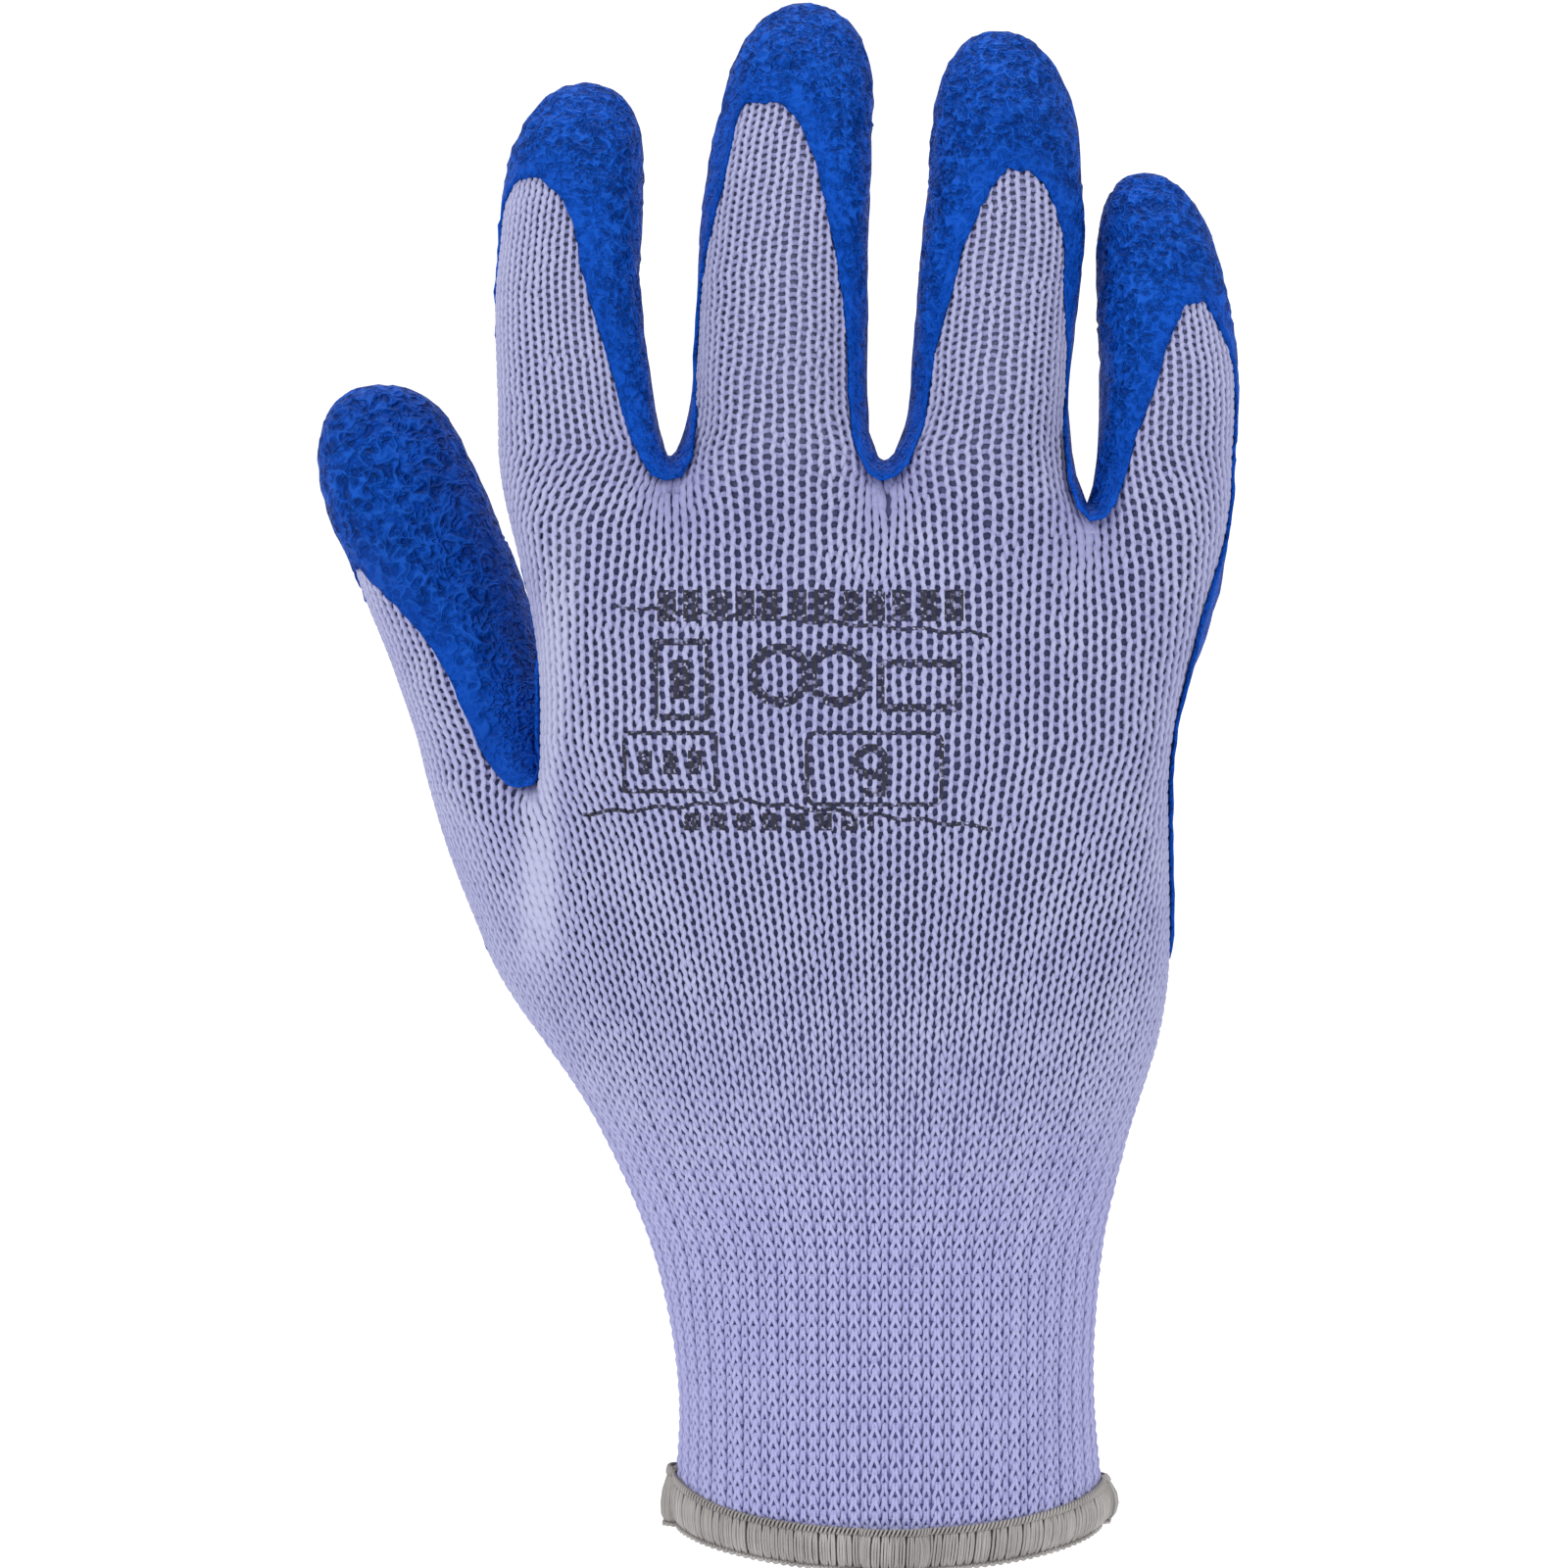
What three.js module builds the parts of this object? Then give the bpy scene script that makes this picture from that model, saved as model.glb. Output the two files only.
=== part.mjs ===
// Latex-dipped knitted work glove, right hand, as it is worn.
// Millimetres. +Z runs from the wrist opening to the fingertips, the back of the hand faces -Y,
// the palm +Y, and the thumb is at -X. The origin is the centre of the wrist opening.

import * as THREE from 'three';

// Driving dimensions
const LINER_WALL = 1.6;
const COAT_THICKNESS = 1.1;
const CLEARANCE = 0.3;
const WEB_DROP = 2.6;
const CUFF_TOP = 54;

// The lower edge of the latex, which waves round the hand.
const COAT_EDGE = 99;
const COAT_EDGE_WAVE = { depth: 2.5, reach: 9, turns: 2, start: 0.5 };

// The wrist edge hangs lower at the back of the hand and at the palm than at its sides.
const HEM_DIP = { back: 6, palm: 2, reach: 26, sharpness: 1.4, fade: 0.8 };

// A finger section has 14 sides: 4 on the back, 2 on its right, 6 on the palm side, 2 on its left.
// The 4 on the back are the ones that the latex leaves bare.
const BACK_SIDES = 4;
const FLANK_SIDES = 2;
const PALM_SIDES = 6;
const FINGER_SIDES = BACK_SIDES + PALM_SIDES + 2 * FLANK_SIDES;

// Places of a finger section's named corners.
const BACK_LEFT = 0;
const BACK_RIGHT = BACK_SIDES;
const PALM_RIGHT = BACK_RIGHT + FLANK_SIDES;
const PALM_LEFT = PALM_RIGHT + PALM_SIDES;

// How far the corners beside a web stand apart, in degrees round the root of a finger.
const ROOT_FLANK = { left: 28, right: 28 };
const THUMB_ROOT_FLANK = { left: 24, right: 42 };

const FINGER_COLUMNS = ['z', 'x', 'y', 'halfWidth', 'halfDepth', 'bareLeft', 'bareRight', 'tilt'];

// Each finger from root to tip. bareLeft and bareRight are the edges of the bare strip on the back,
// in degrees round the section from the middle of the back; coatedFrom is the row where it closes.
const FINGERS = [
  {
    name: 'knit_index',
    tip: { x: -48.4, y: 9.6, z: 235.6 },
    coatedFrom: 7,
    sections: table(FINGER_COLUMNS, [
      [175.5, -48.6, 0.0, 13.9, 13.0, -104, 56, 0],
      [182.0, -49.6, 0.1, 12.8, 12.3, -106, 44, 0],
      [193.0, -51.2, 0.7, 11.6, 11.5, -106, 35, 0],
      [203.0, -51.8, 1.8, 11.0, 10.8, -104, 21, 0],
      [209.0, -51.4, 2.8, 10.7, 10.4, -98, 14, 0],
      [214.5, -51.1, 3.9, 10.6, 10.1, -88, 3, 0],
      [217.8, -50.7, 4.7, 10.4, 9.8, -74, -12, 0],
      [220.2, -50.4, 5.3, 10.2, 9.5, -60, -28, 0],
      [225.5, -49.7, 6.8, 9.3, 8.6, -62, 0, 0],
      [230.0, -49.0, 8.1, 7.7, 7.1, -62, 30, 0],
      [233.6, -48.6, 9.1, 5.0, 4.8, -62, 50, 0],
    ]),
  },
  {
    name: 'knit_middle',
    tip: { x: -13.2, y: 10.6, z: 248.6 },
    coatedFrom: 7,
    sections: table(FINGER_COLUMNS, [
      [177.5, -17.4, -0.6, 14.9, 13.6, -62, 66, 0],
      [183.5, -17.4, -0.5, 13.7, 12.9, -84, 62, 0],
      [195.0, -17.4, 0.1, 13.0, 12.1, -94, 59, 0],
      [206.5, -17.1, 1.3, 12.6, 11.5, -80, 48, 0],
      [214.0, -16.5, 2.5, 12.2, 11.1, -66, 36, 0],
      [221.5, -15.8, 3.9, 11.9, 10.7, -58, 24, 0],
      [228.5, -15.0, 5.5, 11.5, 10.1, -56, 6, 0],
      [232.2, -14.4, 6.4, 11.2, 9.7, -50, -14, 0],
      [238.0, -13.8, 7.9, 10.2, 8.7, -56, 16, 0],
      [243.0, -13.3, 9.2, 8.3, 7.2, -60, 36, 0],
      [246.6, -13.2, 10.1, 5.2, 4.8, -60, 50, 0],
    ]),
  },
  {
    name: 'knit_ring',
    tip: { x: 18.1, y: 10.0, z: 244.0 },
    coatedFrom: 7,
    sections: table(FINGER_COLUMNS, [
      [175.5, 15.0, -0.3, 14.0, 13.2, -62, 66, 0],
      [181.5, 15.7, -0.2, 12.6, 12.4, -62, 86, 0],
      [192.0, 17.0, 0.4, 11.9, 11.6, -58, 82, 0],
      [202.0, 17.8, 1.6, 11.6, 11.0, -42, 62, 0],
      [208.5, 18.4, 2.6, 11.8, 10.7, -36, 58, 0],
      [214.0, 18.8, 3.6, 11.6, 10.4, -24, 46, 0],
      [218.5, 18.9, 4.5, 11.2, 10.1, -12, 34, 0],
      [221.3, 18.9, 5.1, 11.0, 9.9, 0, 18, 0],
      [228.5, 18.9, 6.6, 10.5, 9.1, -20, 34, 0],
      [234.5, 18.6, 8.0, 9.4, 8.0, -40, 46, 0],
      [239.3, 18.3, 9.1, 7.2, 6.3, -54, 54, 0],
      [242.4, 18.1, 9.7, 4.4, 4.1, -58, 58, 0],
    ]),
  },
  {
    name: 'knit_little',
    tip: { x: 41.5, y: 9.4, z: 221.2 },
    coatedFrom: 6,
    sections: table(FINGER_COLUMNS, [
      [169.5, 43.4, 1.2, 11.6, 12.0, -58, 68, 0],
      [175.5, 44.3, 1.3, 10.7, 11.2, -44, 66, 0],
      [181.5, 45.1, 1.6, 10.5, 10.7, -28, 64, 0],
      [189.5, 45.4, 2.6, 10.3, 10.0, -14, 60, 0],
      [196.0, 44.8, 3.7, 9.9, 9.4, 3, 42, 0],
      [198.2, 44.5, 4.2, 9.7, 9.2, 12, 36, 0],
      [199.8, 44.3, 4.5, 9.5, 9.0, 18, 32, 0],
      [205.5, 43.7, 5.8, 8.8, 8.3, -14, 44, 0],
      [211.5, 43.0, 7.3, 7.9, 7.2, -38, 50, 0],
      [216.2, 42.3, 8.4, 6.2, 5.7, -52, 54, 0],
      [219.4, 41.8, 9.1, 3.8, 3.6, -58, 58, 0],
    ]),
  },
];

const THUMB = {
  name: 'knit_thumb',
  tip: { x: -83.0, y: 27.1, z: 188.2 },
  coatedFrom: 7,
  sections: table(FINGER_COLUMNS, [
    [124.5, -62.8, 15.0, 11.6, 15.6, -124, 26, 4],
    [131.0, -64.7, 18.2, 11.2, 13.8, -124, -4, 8],
    [139.5, -67.4, 20.7, 11.3, 13.0, -122, -9, 11],
    [148.5, -70.2, 22.4, 11.7, 12.3, -116, -21, 14],
    [153.0, -71.8, 23.0, 12.0, 11.8, -111, -32, 15],
    [157.3, -73.5, 23.4, 12.0, 11.4, -105, -45, 15],
    [159.9, -74.5, 23.7, 11.9, 11.2, -96, -54, 15],
    [161.7, -75.2, 23.9, 11.8, 11.1, -88, -62, 15],
    [168.0, -77.6, 24.5, 11.6, 10.6, -76, -22, 14],
    [174.7, -80.2, 25.2, 11.2, 9.9, -64, 14, 13],
    [180.3, -81.8, 25.9, 10.1, 8.7, -60, 38, 10],
    [184.6, -82.6, 26.5, 7.8, 6.8, -60, 50, 6],
    [187.0, -83.0, 26.9, 4.7, 4.4, -60, 56, 3],
  ]),
};

// The webs between the fingers: crotch heights, and how far each lies from the back and the palm.
const WEB_RIDGE_Y = 0.8;
const WEBS = table(
  ['x', 'z', 'back', 'palm'],
  [
    [-34.2, 173.4, 9.6, 9.6],
    [-1.4, 173.2, 10.2, 11.8],
    [31.4, 166.6, 9.4, 10.4],
  ],
);
const THUMB_WEB = {
  back: { x: -56.6, y: -2.2, z: 122.6 },
  ridge: { x: -54.4, y: 9.0, z: 126.6 },
  palm: { x: -48.6, y: 22.5, z: 122.6 },
};

// The tube of the hand above the thumb. left and right are the edges seen from the back, back and
// palm the depths, fullness rounds the section from an ellipse towards a flatter, fuller outline.
const HAND_COLUMNS = ['z', 'left', 'right', 'back', 'palm', 'lean', 'thenar', 'fullness'];
const UPPER_HAND = table(HAND_COLUMNS, [
  [124.5, -56.0, 45.2, 16.4, 17.6, 1.5, 0.0, 0.86],
  [134.0, -56.2, 46.2, 16.3, 16.8, 1.0, 0.0, 0.84],
  [144.0, -56.6, 48.8, 16.0, 16.4, 0.6, 0.0, 0.82],
  [154.0, -58.2, 51.8, 15.4, 16.0, 0.2, 0.0, 0.80],
  [164.0, -60.6, 53.6, 14.6, 15.4, 0.0, 0.0, 0.80],
  [178.0, -62.6, 55.4, 13.4, 13.6, 0.0, 0.0, 0.80],
]);

// The hand below the thumb crotch and the cuff, down to the hem. lean carries the thumb side
// towards the palm, and thenar is the swell at the root of the thumb.
const LOWER_HAND = table(HAND_COLUMNS, [
  [0.0, -34.4, 34.6, 23.6, 23.6, 0.0, 0.0, 1.00],
  [10.0, -34.2, 34.4, 23.4, 23.4, 0.0, 0.0, 1.00],
  [20.0, -33.3, 33.4, 22.8, 22.8, 0.0, 0.0, 1.00],
  [30.0, -33.5, 32.8, 22.4, 22.6, 0.0, 0.0, 1.00],
  [42.0, -35.5, 33.5, 22.2, 22.8, 0.0, 0.0, 0.99],
  [54.0, -39.0, 34.9, 21.8, 23.2, 0.3, 0.6, 0.98],
  [65.0, -43.4, 37.2, 21.0, 23.6, 1.0, 2.4, 0.96],
  [75.0, -49.6, 40.8, 20.0, 23.6, 2.2, 4.8, 0.93],
  [84.0, -55.6, 43.4, 19.0, 23.0, 4.0, 7.0, 0.91],
  [93.0, -61.5, 44.8, 18.1, 22.2, 6.2, 8.0, 0.90],
  [101.0, -65.4, 45.4, 17.4, 21.2, 8.4, 7.6, 0.89],
  [109.0, -69.2, 45.4, 16.9, 20.0, 10.4, 6.4, 0.88],
  [117.0, -71.8, 45.3, 16.6, 18.8, 12.0, 4.6, 0.88],
  [124.5, -73.6, 45.2, 16.4, 17.6, 13.0, 2.0, 0.88],
]);
// Where the swell lies across the hand, and how far it spreads.
const THENAR = { centre: -0.52, spread: 0.34 };

// Rows of the hand, and how much of the form of the row above each keeps.
const UPPER_ROWS = table(
  ['way', 'knuckles'],
  [
    [0.18, 0.7],
    [0.38, 0.34],
    [0.6, 0.1],
    [0.82, 0.0],
  ],
);
const LOWER_ROWS = table(
  ['z', 'thumbRoot'],
  [
    [117.5, 0.7],
    [110.5, 0.42],
    [COAT_EDGE, 0.12],
    [90, 0.03],
    [80, 0],
    [70, 0],
    [CUFF_TOP, 0],
    [43, 0],
    [32, 0],
    [22, 0],
    [14, 0],
    [7.2, 0],
  ],
);
// How sharply the rows above the crotch of the thumb bend to it.
const WEB_PULL = 4;

// Below the thumb the columns of the net spread evenly round the hand within this height.
const COLUMN_RELEASE = 70;

// A crease's outward step grows no longer than one over this.
const CREASE_LIMIT = 0.42;

// The palm swells towards the root of the thumb, over this width and height.
const ROOT_SWELL = { depth: 9, from: -22, to: -49, height: 17 };

// The least turn round the hand from one corner of a ring to the next.
const LEAST_TURN = radians(2);

// Section of the hem, which wraps the raw edge of the cuff: out is measured from the outer face of
// the cuff, up from its edge.
const HEM_PROFILE = table(
  ['out', 'up'],
  [
    [CLEARANCE, 4.6],
    [1.3, 4.9],
    [1.7, 2.4],
    [1.2, -1.2],
    [-LINER_WALL - 1.2, -1.2],
    [-LINER_WALL - 1.4, 3.2],
    [-LINER_WALL - CLEARANCE, 3.2],
    [-LINER_WALL - CLEARANCE, -CLEARANCE],
    [CLEARANCE, -CLEARANCE],
  ],
);

const FINISHES = {
  knit: { color: 0xa8a8dc, roughness: 0.92, metalness: 0 },
  latex: { color: 0x0f4fae, roughness: 0.42, metalness: 0 },
  hem: { color: 0x959190, roughness: 0.9, metalness: 0 },
};

function table(columns, rows) {
  return rows.map((row) => Object.fromEntries(columns.map((name, i) => [name, row[i]])));
}

function radians(degrees) {
  return THREE.MathUtils.degToRad(degrees);
}

function mix(a, b, share) {
  return THREE.MathUtils.lerp(a, b, share);
}

// A table's columns at any height, smooth from row to row.
function readAt(rows, z) {
  const last = rows.length - 1;
  let i = rows.findIndex((row, n) => n < last && z < rows[n + 1].z);
  i = i < 0 ? last - 1 : i;
  const share = THREE.MathUtils.clamp((z - rows[i].z) / (rows[i + 1].z - rows[i].z), 0, 1);
  const before = rows[Math.max(i - 1, 0)];
  const after = rows[Math.min(i + 2, last)];
  const span = rows[i + 1].z - rows[i].z;
  const read = {};
  for (const name of Object.keys(rows[i])) {
    const slopeIn = (rows[i + 1][name] - before[name]) / (rows[i + 1].z - before.z);
    const slopeOut = (after[name] - rows[i][name]) / (after.z - rows[i].z);
    read[name] = hermite(rows[i][name], rows[i + 1][name], slopeIn * span, slopeOut * span, share);
  }
  return read;
}

function hermite(from, to, slopeFrom, slopeTo, share) {
  const squared = share * share;
  const cubed = squared * share;
  return (
    from * (2 * cubed - 3 * squared + 1) +
    slopeFrom * (cubed - 2 * squared + share) +
    to * (3 * squared - 2 * cubed) +
    slopeTo * (cubed - squared)
  );
}

// The whole outer face of the liner is one net of points and four-sided cells. A cell knows which
// section of the liner it belongs to and whether latex covers it.
const net = { points: [], cells: [] };

function addPoint(x, y, z) {
  net.points.push(new THREE.Vector3(x, y, z));
  return net.points.length - 1;
}

function addCell(corners, section, coated) {
  net.cells.push({ corners, section, coated });
}

function addBand(lower, upper, sectionOf, coatedAt) {
  lower.forEach((point, i) => {
    const next = (i + 1) % lower.length;
    addCell([point, lower[next], upper[next], upper[i]], sectionOf, coatedAt(i));
  });
}

// Angles of a finger section's 14 corners, from the left edge of its bare strip.
function cornerAngles(section, rootFlank) {
  const around = 360 - (section.bareRight - section.bareLeft);
  const even = around / (FINGER_SIDES - BACK_SIDES);
  const flank = rootFlank ?? { left: even, right: even };
  const palmFrom = section.bareRight + FLANK_SIDES * flank.right;
  const palmTo = section.bareLeft + 360 - FLANK_SIDES * flank.left;
  const angles = [];
  for (let i = 0; i < BACK_SIDES; i += 1) {
    angles.push(mix(section.bareLeft, section.bareRight, i / BACK_SIDES));
  }
  for (let i = 0; i < FLANK_SIDES; i += 1) {
    angles.push(section.bareRight + i * flank.right);
  }
  for (let i = 0; i < PALM_SIDES; i += 1) {
    angles.push(mix(palmFrom, palmTo, i / PALM_SIDES));
  }
  for (let i = 0; i < FLANK_SIDES; i += 1) {
    angles.push(palmTo + i * flank.left);
  }
  return angles.map(radians);
}

function sectionCorner(section, angle) {
  const across = section.halfWidth * Math.sin(angle);
  const tilt = radians(section.tilt);
  return {
    x: section.x + across * Math.cos(tilt),
    y: section.y - section.halfDepth * Math.cos(angle),
    z: section.z + across * Math.sin(tilt),
  };
}

// A finger's root ring. Corners that it shares with a neighbour or a web are given, by their place.
function rootRing(finger, flank, shared) {
  const section = finger.sections[0];
  return cornerAngles(section, flank).map((angle, i) => {
    if (shared[i] !== undefined) {
      return shared[i];
    }
    const corner = sectionCorner(section, angle);
    return addPoint(corner.x, corner.y, corner.z);
  });
}

function addFinger(finger, root) {
  let lower = root;
  finger.sections.slice(1).forEach((section, i) => {
    const upper = cornerAngles(section).map((angle) => {
      const corner = sectionCorner(section, angle);
      return addPoint(corner.x, corner.y, corner.z);
    });
    const sectionName = i === 0 ? 'knit_palm' : finger.name;
    const closed = i >= finger.coatedFrom;
    addBand(lower, upper, sectionName, (side) => side >= BACK_SIDES || closed);
    lower = upper;
  });
  const tip = addPoint(finger.tip.x, finger.tip.y, finger.tip.z);
  lower.forEach((point, i) => {
    addCell([point, lower[(i + 1) % lower.length], tip], finger.name, true);
  });
}

function addWeb(web) {
  return {
    back: addPoint(web.x, -web.back, web.z - WEB_DROP),
    ridge: addPoint(web.x, WEB_RIDGE_Y, web.z),
    palm: addPoint(web.x, web.palm, web.z - WEB_DROP),
  };
}

function sharedCorners(leftWeb, rightWeb) {
  const shared = {};
  if (leftWeb) {
    shared[BACK_LEFT] = leftWeb.back;
    shared[PALM_LEFT] = leftWeb.palm;
    shared[PALM_LEFT + 1] = leftWeb.ridge;
  }
  if (rightWeb) {
    shared[BACK_RIGHT] = rightWeb.back;
    shared[BACK_RIGHT + 1] = rightWeb.ridge;
    shared[PALM_RIGHT] = rightWeb.palm;
  }
  return shared;
}

// A point of the hand's outline at an angle round it and a height.
function outlinePoint(rows, angle, z) {
  const row = readAt(rows, z);
  const soften = (value) => Math.sign(value) * Math.abs(value) ** row.fullness;
  const across = soften(Math.sin(angle));
  const through = -soften(Math.cos(angle));
  const swell = Math.exp(-(((across - THENAR.centre) / THENAR.spread) ** 2));
  const depth = through < 0 ? row.back : row.palm + row.thenar * swell;
  return new THREE.Vector3(
    mix(row.left, row.right, (across + 1) / 2),
    through * depth + row.lean * ((1 - across) / 2) ** 2,
    z,
  );
}

// The angle round the hand's outline at which a point lies.
function outlineAngle(rows, point) {
  const row = readAt(rows, point.z);
  const across = (point.x - (row.left + row.right) / 2) / ((row.right - row.left) / 2);
  const y = point.y - row.lean * ((1 - across) / 2) ** 2;
  return Math.atan2(across, y < 0 ? -y / row.back : -y / row.palm);
}

// The angles of a whole ring, each past the one before it.
function outlineAngles(rows, ring) {
  const angles = [];
  ring.forEach((point, i) => {
    const angle = outlineAngle(rows, net.points[point]);
    if (i === 0) {
      angles.push(angle);
      return;
    }
    const before = angles[i - 1];
    const turn = THREE.MathUtils.euclideanModulo(angle - before + Math.PI, 2 * Math.PI) - Math.PI;
    angles.push(before + Math.max(turn, LEAST_TURN));
  });
  return angles;
}

// How far the palm swells at a point near the root of the thumb.
function rootSwell(at, floorZ) {
  if (at.y < 0) {
    return 0;
  }
  const across = THREE.MathUtils.smoothstep(ROOT_SWELL.from - at.x, 0, ROOT_SWELL.from - ROOT_SWELL.to);
  const near = 1 - THREE.MathUtils.smoothstep(at.z - floorZ, 0, ROOT_SWELL.height);
  return ROOT_SWELL.depth * across * near ** 2;
}

// The rows from the finger roots down to the crotch of the thumb.
function addUpperHand(top, floorZ, thumbWeb) {
  const angles = outlineAngles(UPPER_HAND, top);
  const offsets = top.map((point, i) => {
    const at = net.points[point];
    return at.clone().sub(outlinePoint(UPPER_HAND, angles[i], at.z));
  });
  let upper = top;
  const rows = [...UPPER_ROWS, { way: 1, knuckles: 0 }];
  rows.forEach((row) => {
    const lower = top.map((point, i) => {
      const webPoint = thumbWeb.get(i);
      if (webPoint !== undefined && row.way === 1) {
        return webPoint;
      }
      const z = mix(net.points[point].z, floorZ, row.way);
      const at = outlinePoint(UPPER_HAND, angles[i], z);
      at.addScaledVector(offsets[i], row.knuckles);
      at.y += rootSwell(at, floorZ);
      if (webPoint !== undefined) {
        at.lerp(net.points[webPoint], row.way ** WEB_PULL);
      }
      return addPoint(at.x, at.y, at.z);
    });
    addBand(lower, upper, 'knit_palm', (i) => i >= BACK_SIDES * FINGERS.length);
    upper = lower;
  });
  return upper;
}

// How far the hem and the cuff above it dip at the back of the hand and at the palm.
function hemDip(angle, z) {
  const near = THREE.MathUtils.clamp(1 - z / HEM_DIP.reach, 0, 1);
  const facing = Math.cos(angle);
  const dip = facing > 0 ? HEM_DIP.back * facing ** HEM_DIP.sharpness : HEM_DIP.palm * -facing;
  return dip * near ** HEM_DIP.fade;
}

// How far the lower edge of the latex lies above its mean height.
function coatWave(angle, z) {
  const near = Math.exp(-(((z - COAT_EDGE) / COAT_EDGE_WAVE.reach) ** 2));
  return COAT_EDGE_WAVE.depth * near * Math.cos(COAT_EDGE_WAVE.turns * angle + COAT_EDGE_WAVE.start);
}

// The rows from the crotch of the thumb down to the edge of the cuff.
function addLowerHand(top) {
  const startAngles = outlineAngles(LOWER_HAND, top);
  const offsets = top.map((point, i) => {
    const at = net.points[point];
    return at.clone().sub(outlinePoint(LOWER_HAND, startAngles[i], at.z));
  });
  const coatFrom = BACK_SIDES * FINGERS.length;
  const coatTo = top.length - BACK_SIDES;
  const backMiddle = (startAngles[0] + startAngles[coatFrom]) / 2;
  const evenStart = backMiddle - (Math.PI * coatFrom) / top.length;
  let upper = top;
  LOWER_ROWS.forEach((row) => {
    const released = THREE.MathUtils.smoothstep(THUMB_WEB.ridge.z - row.z, 0, COLUMN_RELEASE);
    const lower = top.map((_, i) => {
      const even = evenStart + (2 * Math.PI * i) / top.length;
      const angle = mix(startAngles[i], even, released);
      const at = outlinePoint(LOWER_HAND, angle, row.z);
      at.addScaledVector(offsets[i], row.thumbRoot);
      at.z = row.z - hemDip(angle, row.z) + coatWave(angle, row.z);
      return addPoint(at.x, at.y, at.z);
    });
    const section = row.z >= CUFF_TOP ? 'knit_palm' : 'knit_cuff';
    const coatedRow = row.z >= COAT_EDGE;
    addBand(lower, upper, section, (i) => coatedRow && i >= coatFrom && i < coatTo);
    upper = lower;
  });
  return upper;
}

function buildNet() {
  const webs = WEBS.map(addWeb);
  const roots = FINGERS.map((finger, i) => {
    return rootRing(finger, ROOT_FLANK, sharedCorners(webs[i - 1], webs[i]));
  });
  FINGERS.forEach((finger, i) => addFinger(finger, roots[i]));

  const backs = roots.flatMap((ring) => ring.slice(BACK_LEFT, BACK_RIGHT));
  const lastRing = roots[roots.length - 1];
  const rightFlank = lastRing.slice(BACK_RIGHT, PALM_RIGHT);
  const palms = [...roots].reverse().flatMap((ring) => ring.slice(PALM_RIGHT, PALM_LEFT));
  const leftFlank = roots[0].slice(PALM_LEFT);
  const fingerLine = [...backs, ...rightFlank, ...palms, ...leftFlank];

  const [webBack, webRidge, webPalm] = [THUMB_WEB.back, THUMB_WEB.ridge, THUMB_WEB.palm].map((at) => {
    return addPoint(at.x, at.y, at.z);
  });
  const thumbWeb = new Map([
    [0, webBack],
    [fingerLine.length - 1, webRidge],
    [fingerLine.length - FLANK_SIDES, webPalm],
  ]);
  const crotchLine = addUpperHand(fingerLine, THUMB.sections[0].z, thumbWeb);

  const thumbRoot = rootRing(THUMB, THUMB_ROOT_FLANK, {
    [BACK_RIGHT]: webBack,
    [BACK_RIGHT + 1]: webRidge,
    [PALM_RIGHT]: webPalm,
  });
  addFinger(THUMB, thumbRoot);

  const handLine = [
    ...crotchLine.slice(0, crotchLine.length - FLANK_SIDES),
    ...thumbRoot.slice(PALM_RIGHT),
    ...thumbRoot.slice(BACK_LEFT, BACK_RIGHT),
  ];
  return addLowerHand(handLine);
}

// Outward step at every point for one millimetre of thickness: the mean direction of the cells round
// it by their angle there, lengthened at a crease so that the wall keeps its thickness.
function pointNormals() {
  const facings = net.points.map(() => []);
  net.cells.forEach(({ corners }) => {
    corners.forEach((point, i) => {
      const next = net.points[corners[(i + 1) % corners.length]];
      const previous = net.points[corners[(i + corners.length - 1) % corners.length]];
      const ahead = new THREE.Vector3().subVectors(next, net.points[point]);
      const behind = new THREE.Vector3().subVectors(previous, net.points[point]);
      const share = ahead.angleTo(behind);
      facings[point].push({ facing: ahead.cross(behind).normalize(), share });
    });
  });
  return facings.map((around) => {
    const normal = new THREE.Vector3();
    around.forEach(({ facing, share }) => normal.addScaledVector(facing, share));
    normal.normalize();
    const tightest = Math.min(...around.map(({ facing }) => facing.dot(normal)));
    return normal.divideScalar(Math.max(tightest, CREASE_LIMIT));
  });
}

// The two or one triangles of a cell, split across its shorter diagonal.
function cellTriangles(corners) {
  if (corners.length === 3) {
    return [[0, 1, 2]];
  }
  const [a, b, c, d] = corners.map((i) => net.points[i]);
  if (a.distanceTo(c) <= b.distanceTo(d)) {
    return [[0, 1, 2], [0, 2, 3]];
  }
  return [[1, 2, 3], [1, 3, 0]];
}

// Steps up or down from the points on a section's open edges, into the section, so that the
// sections of the liner stand clear of each other.
function edgeSteps(cells) {
  const uses = new Map();
  cells.forEach(({ corners }) => {
    corners.forEach((a, i) => {
      const b = corners[(i + 1) % corners.length];
      const key = a < b ? `${a},${b}` : `${b},${a}`;
      uses.set(key, (uses.get(key) ?? 0) + 1);
    });
  });
  const onEdge = new Set();
  uses.forEach((count, key) => {
    if (count === 1) {
      key.split(',').forEach((i) => onEdge.add(Number(i)));
    }
  });
  const rises = new Map();
  cells.forEach(({ corners }) => {
    const inside = corners.filter((point) => !onEdge.has(point));
    corners.filter((point) => onEdge.has(point)).forEach((edge) => {
      const rise = inside.reduce((sum, point) => sum + net.points[point].z - net.points[edge].z, 0);
      rises.set(edge, (rises.get(edge) ?? 0) + rise);
    });
  });
  const steps = new Map();
  rises.forEach((rise, edge) => {
    steps.set(edge, new THREE.Vector3(0, 0, (Math.sign(rise) * CLEARANCE) / 2));
  });
  return steps;
}

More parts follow.
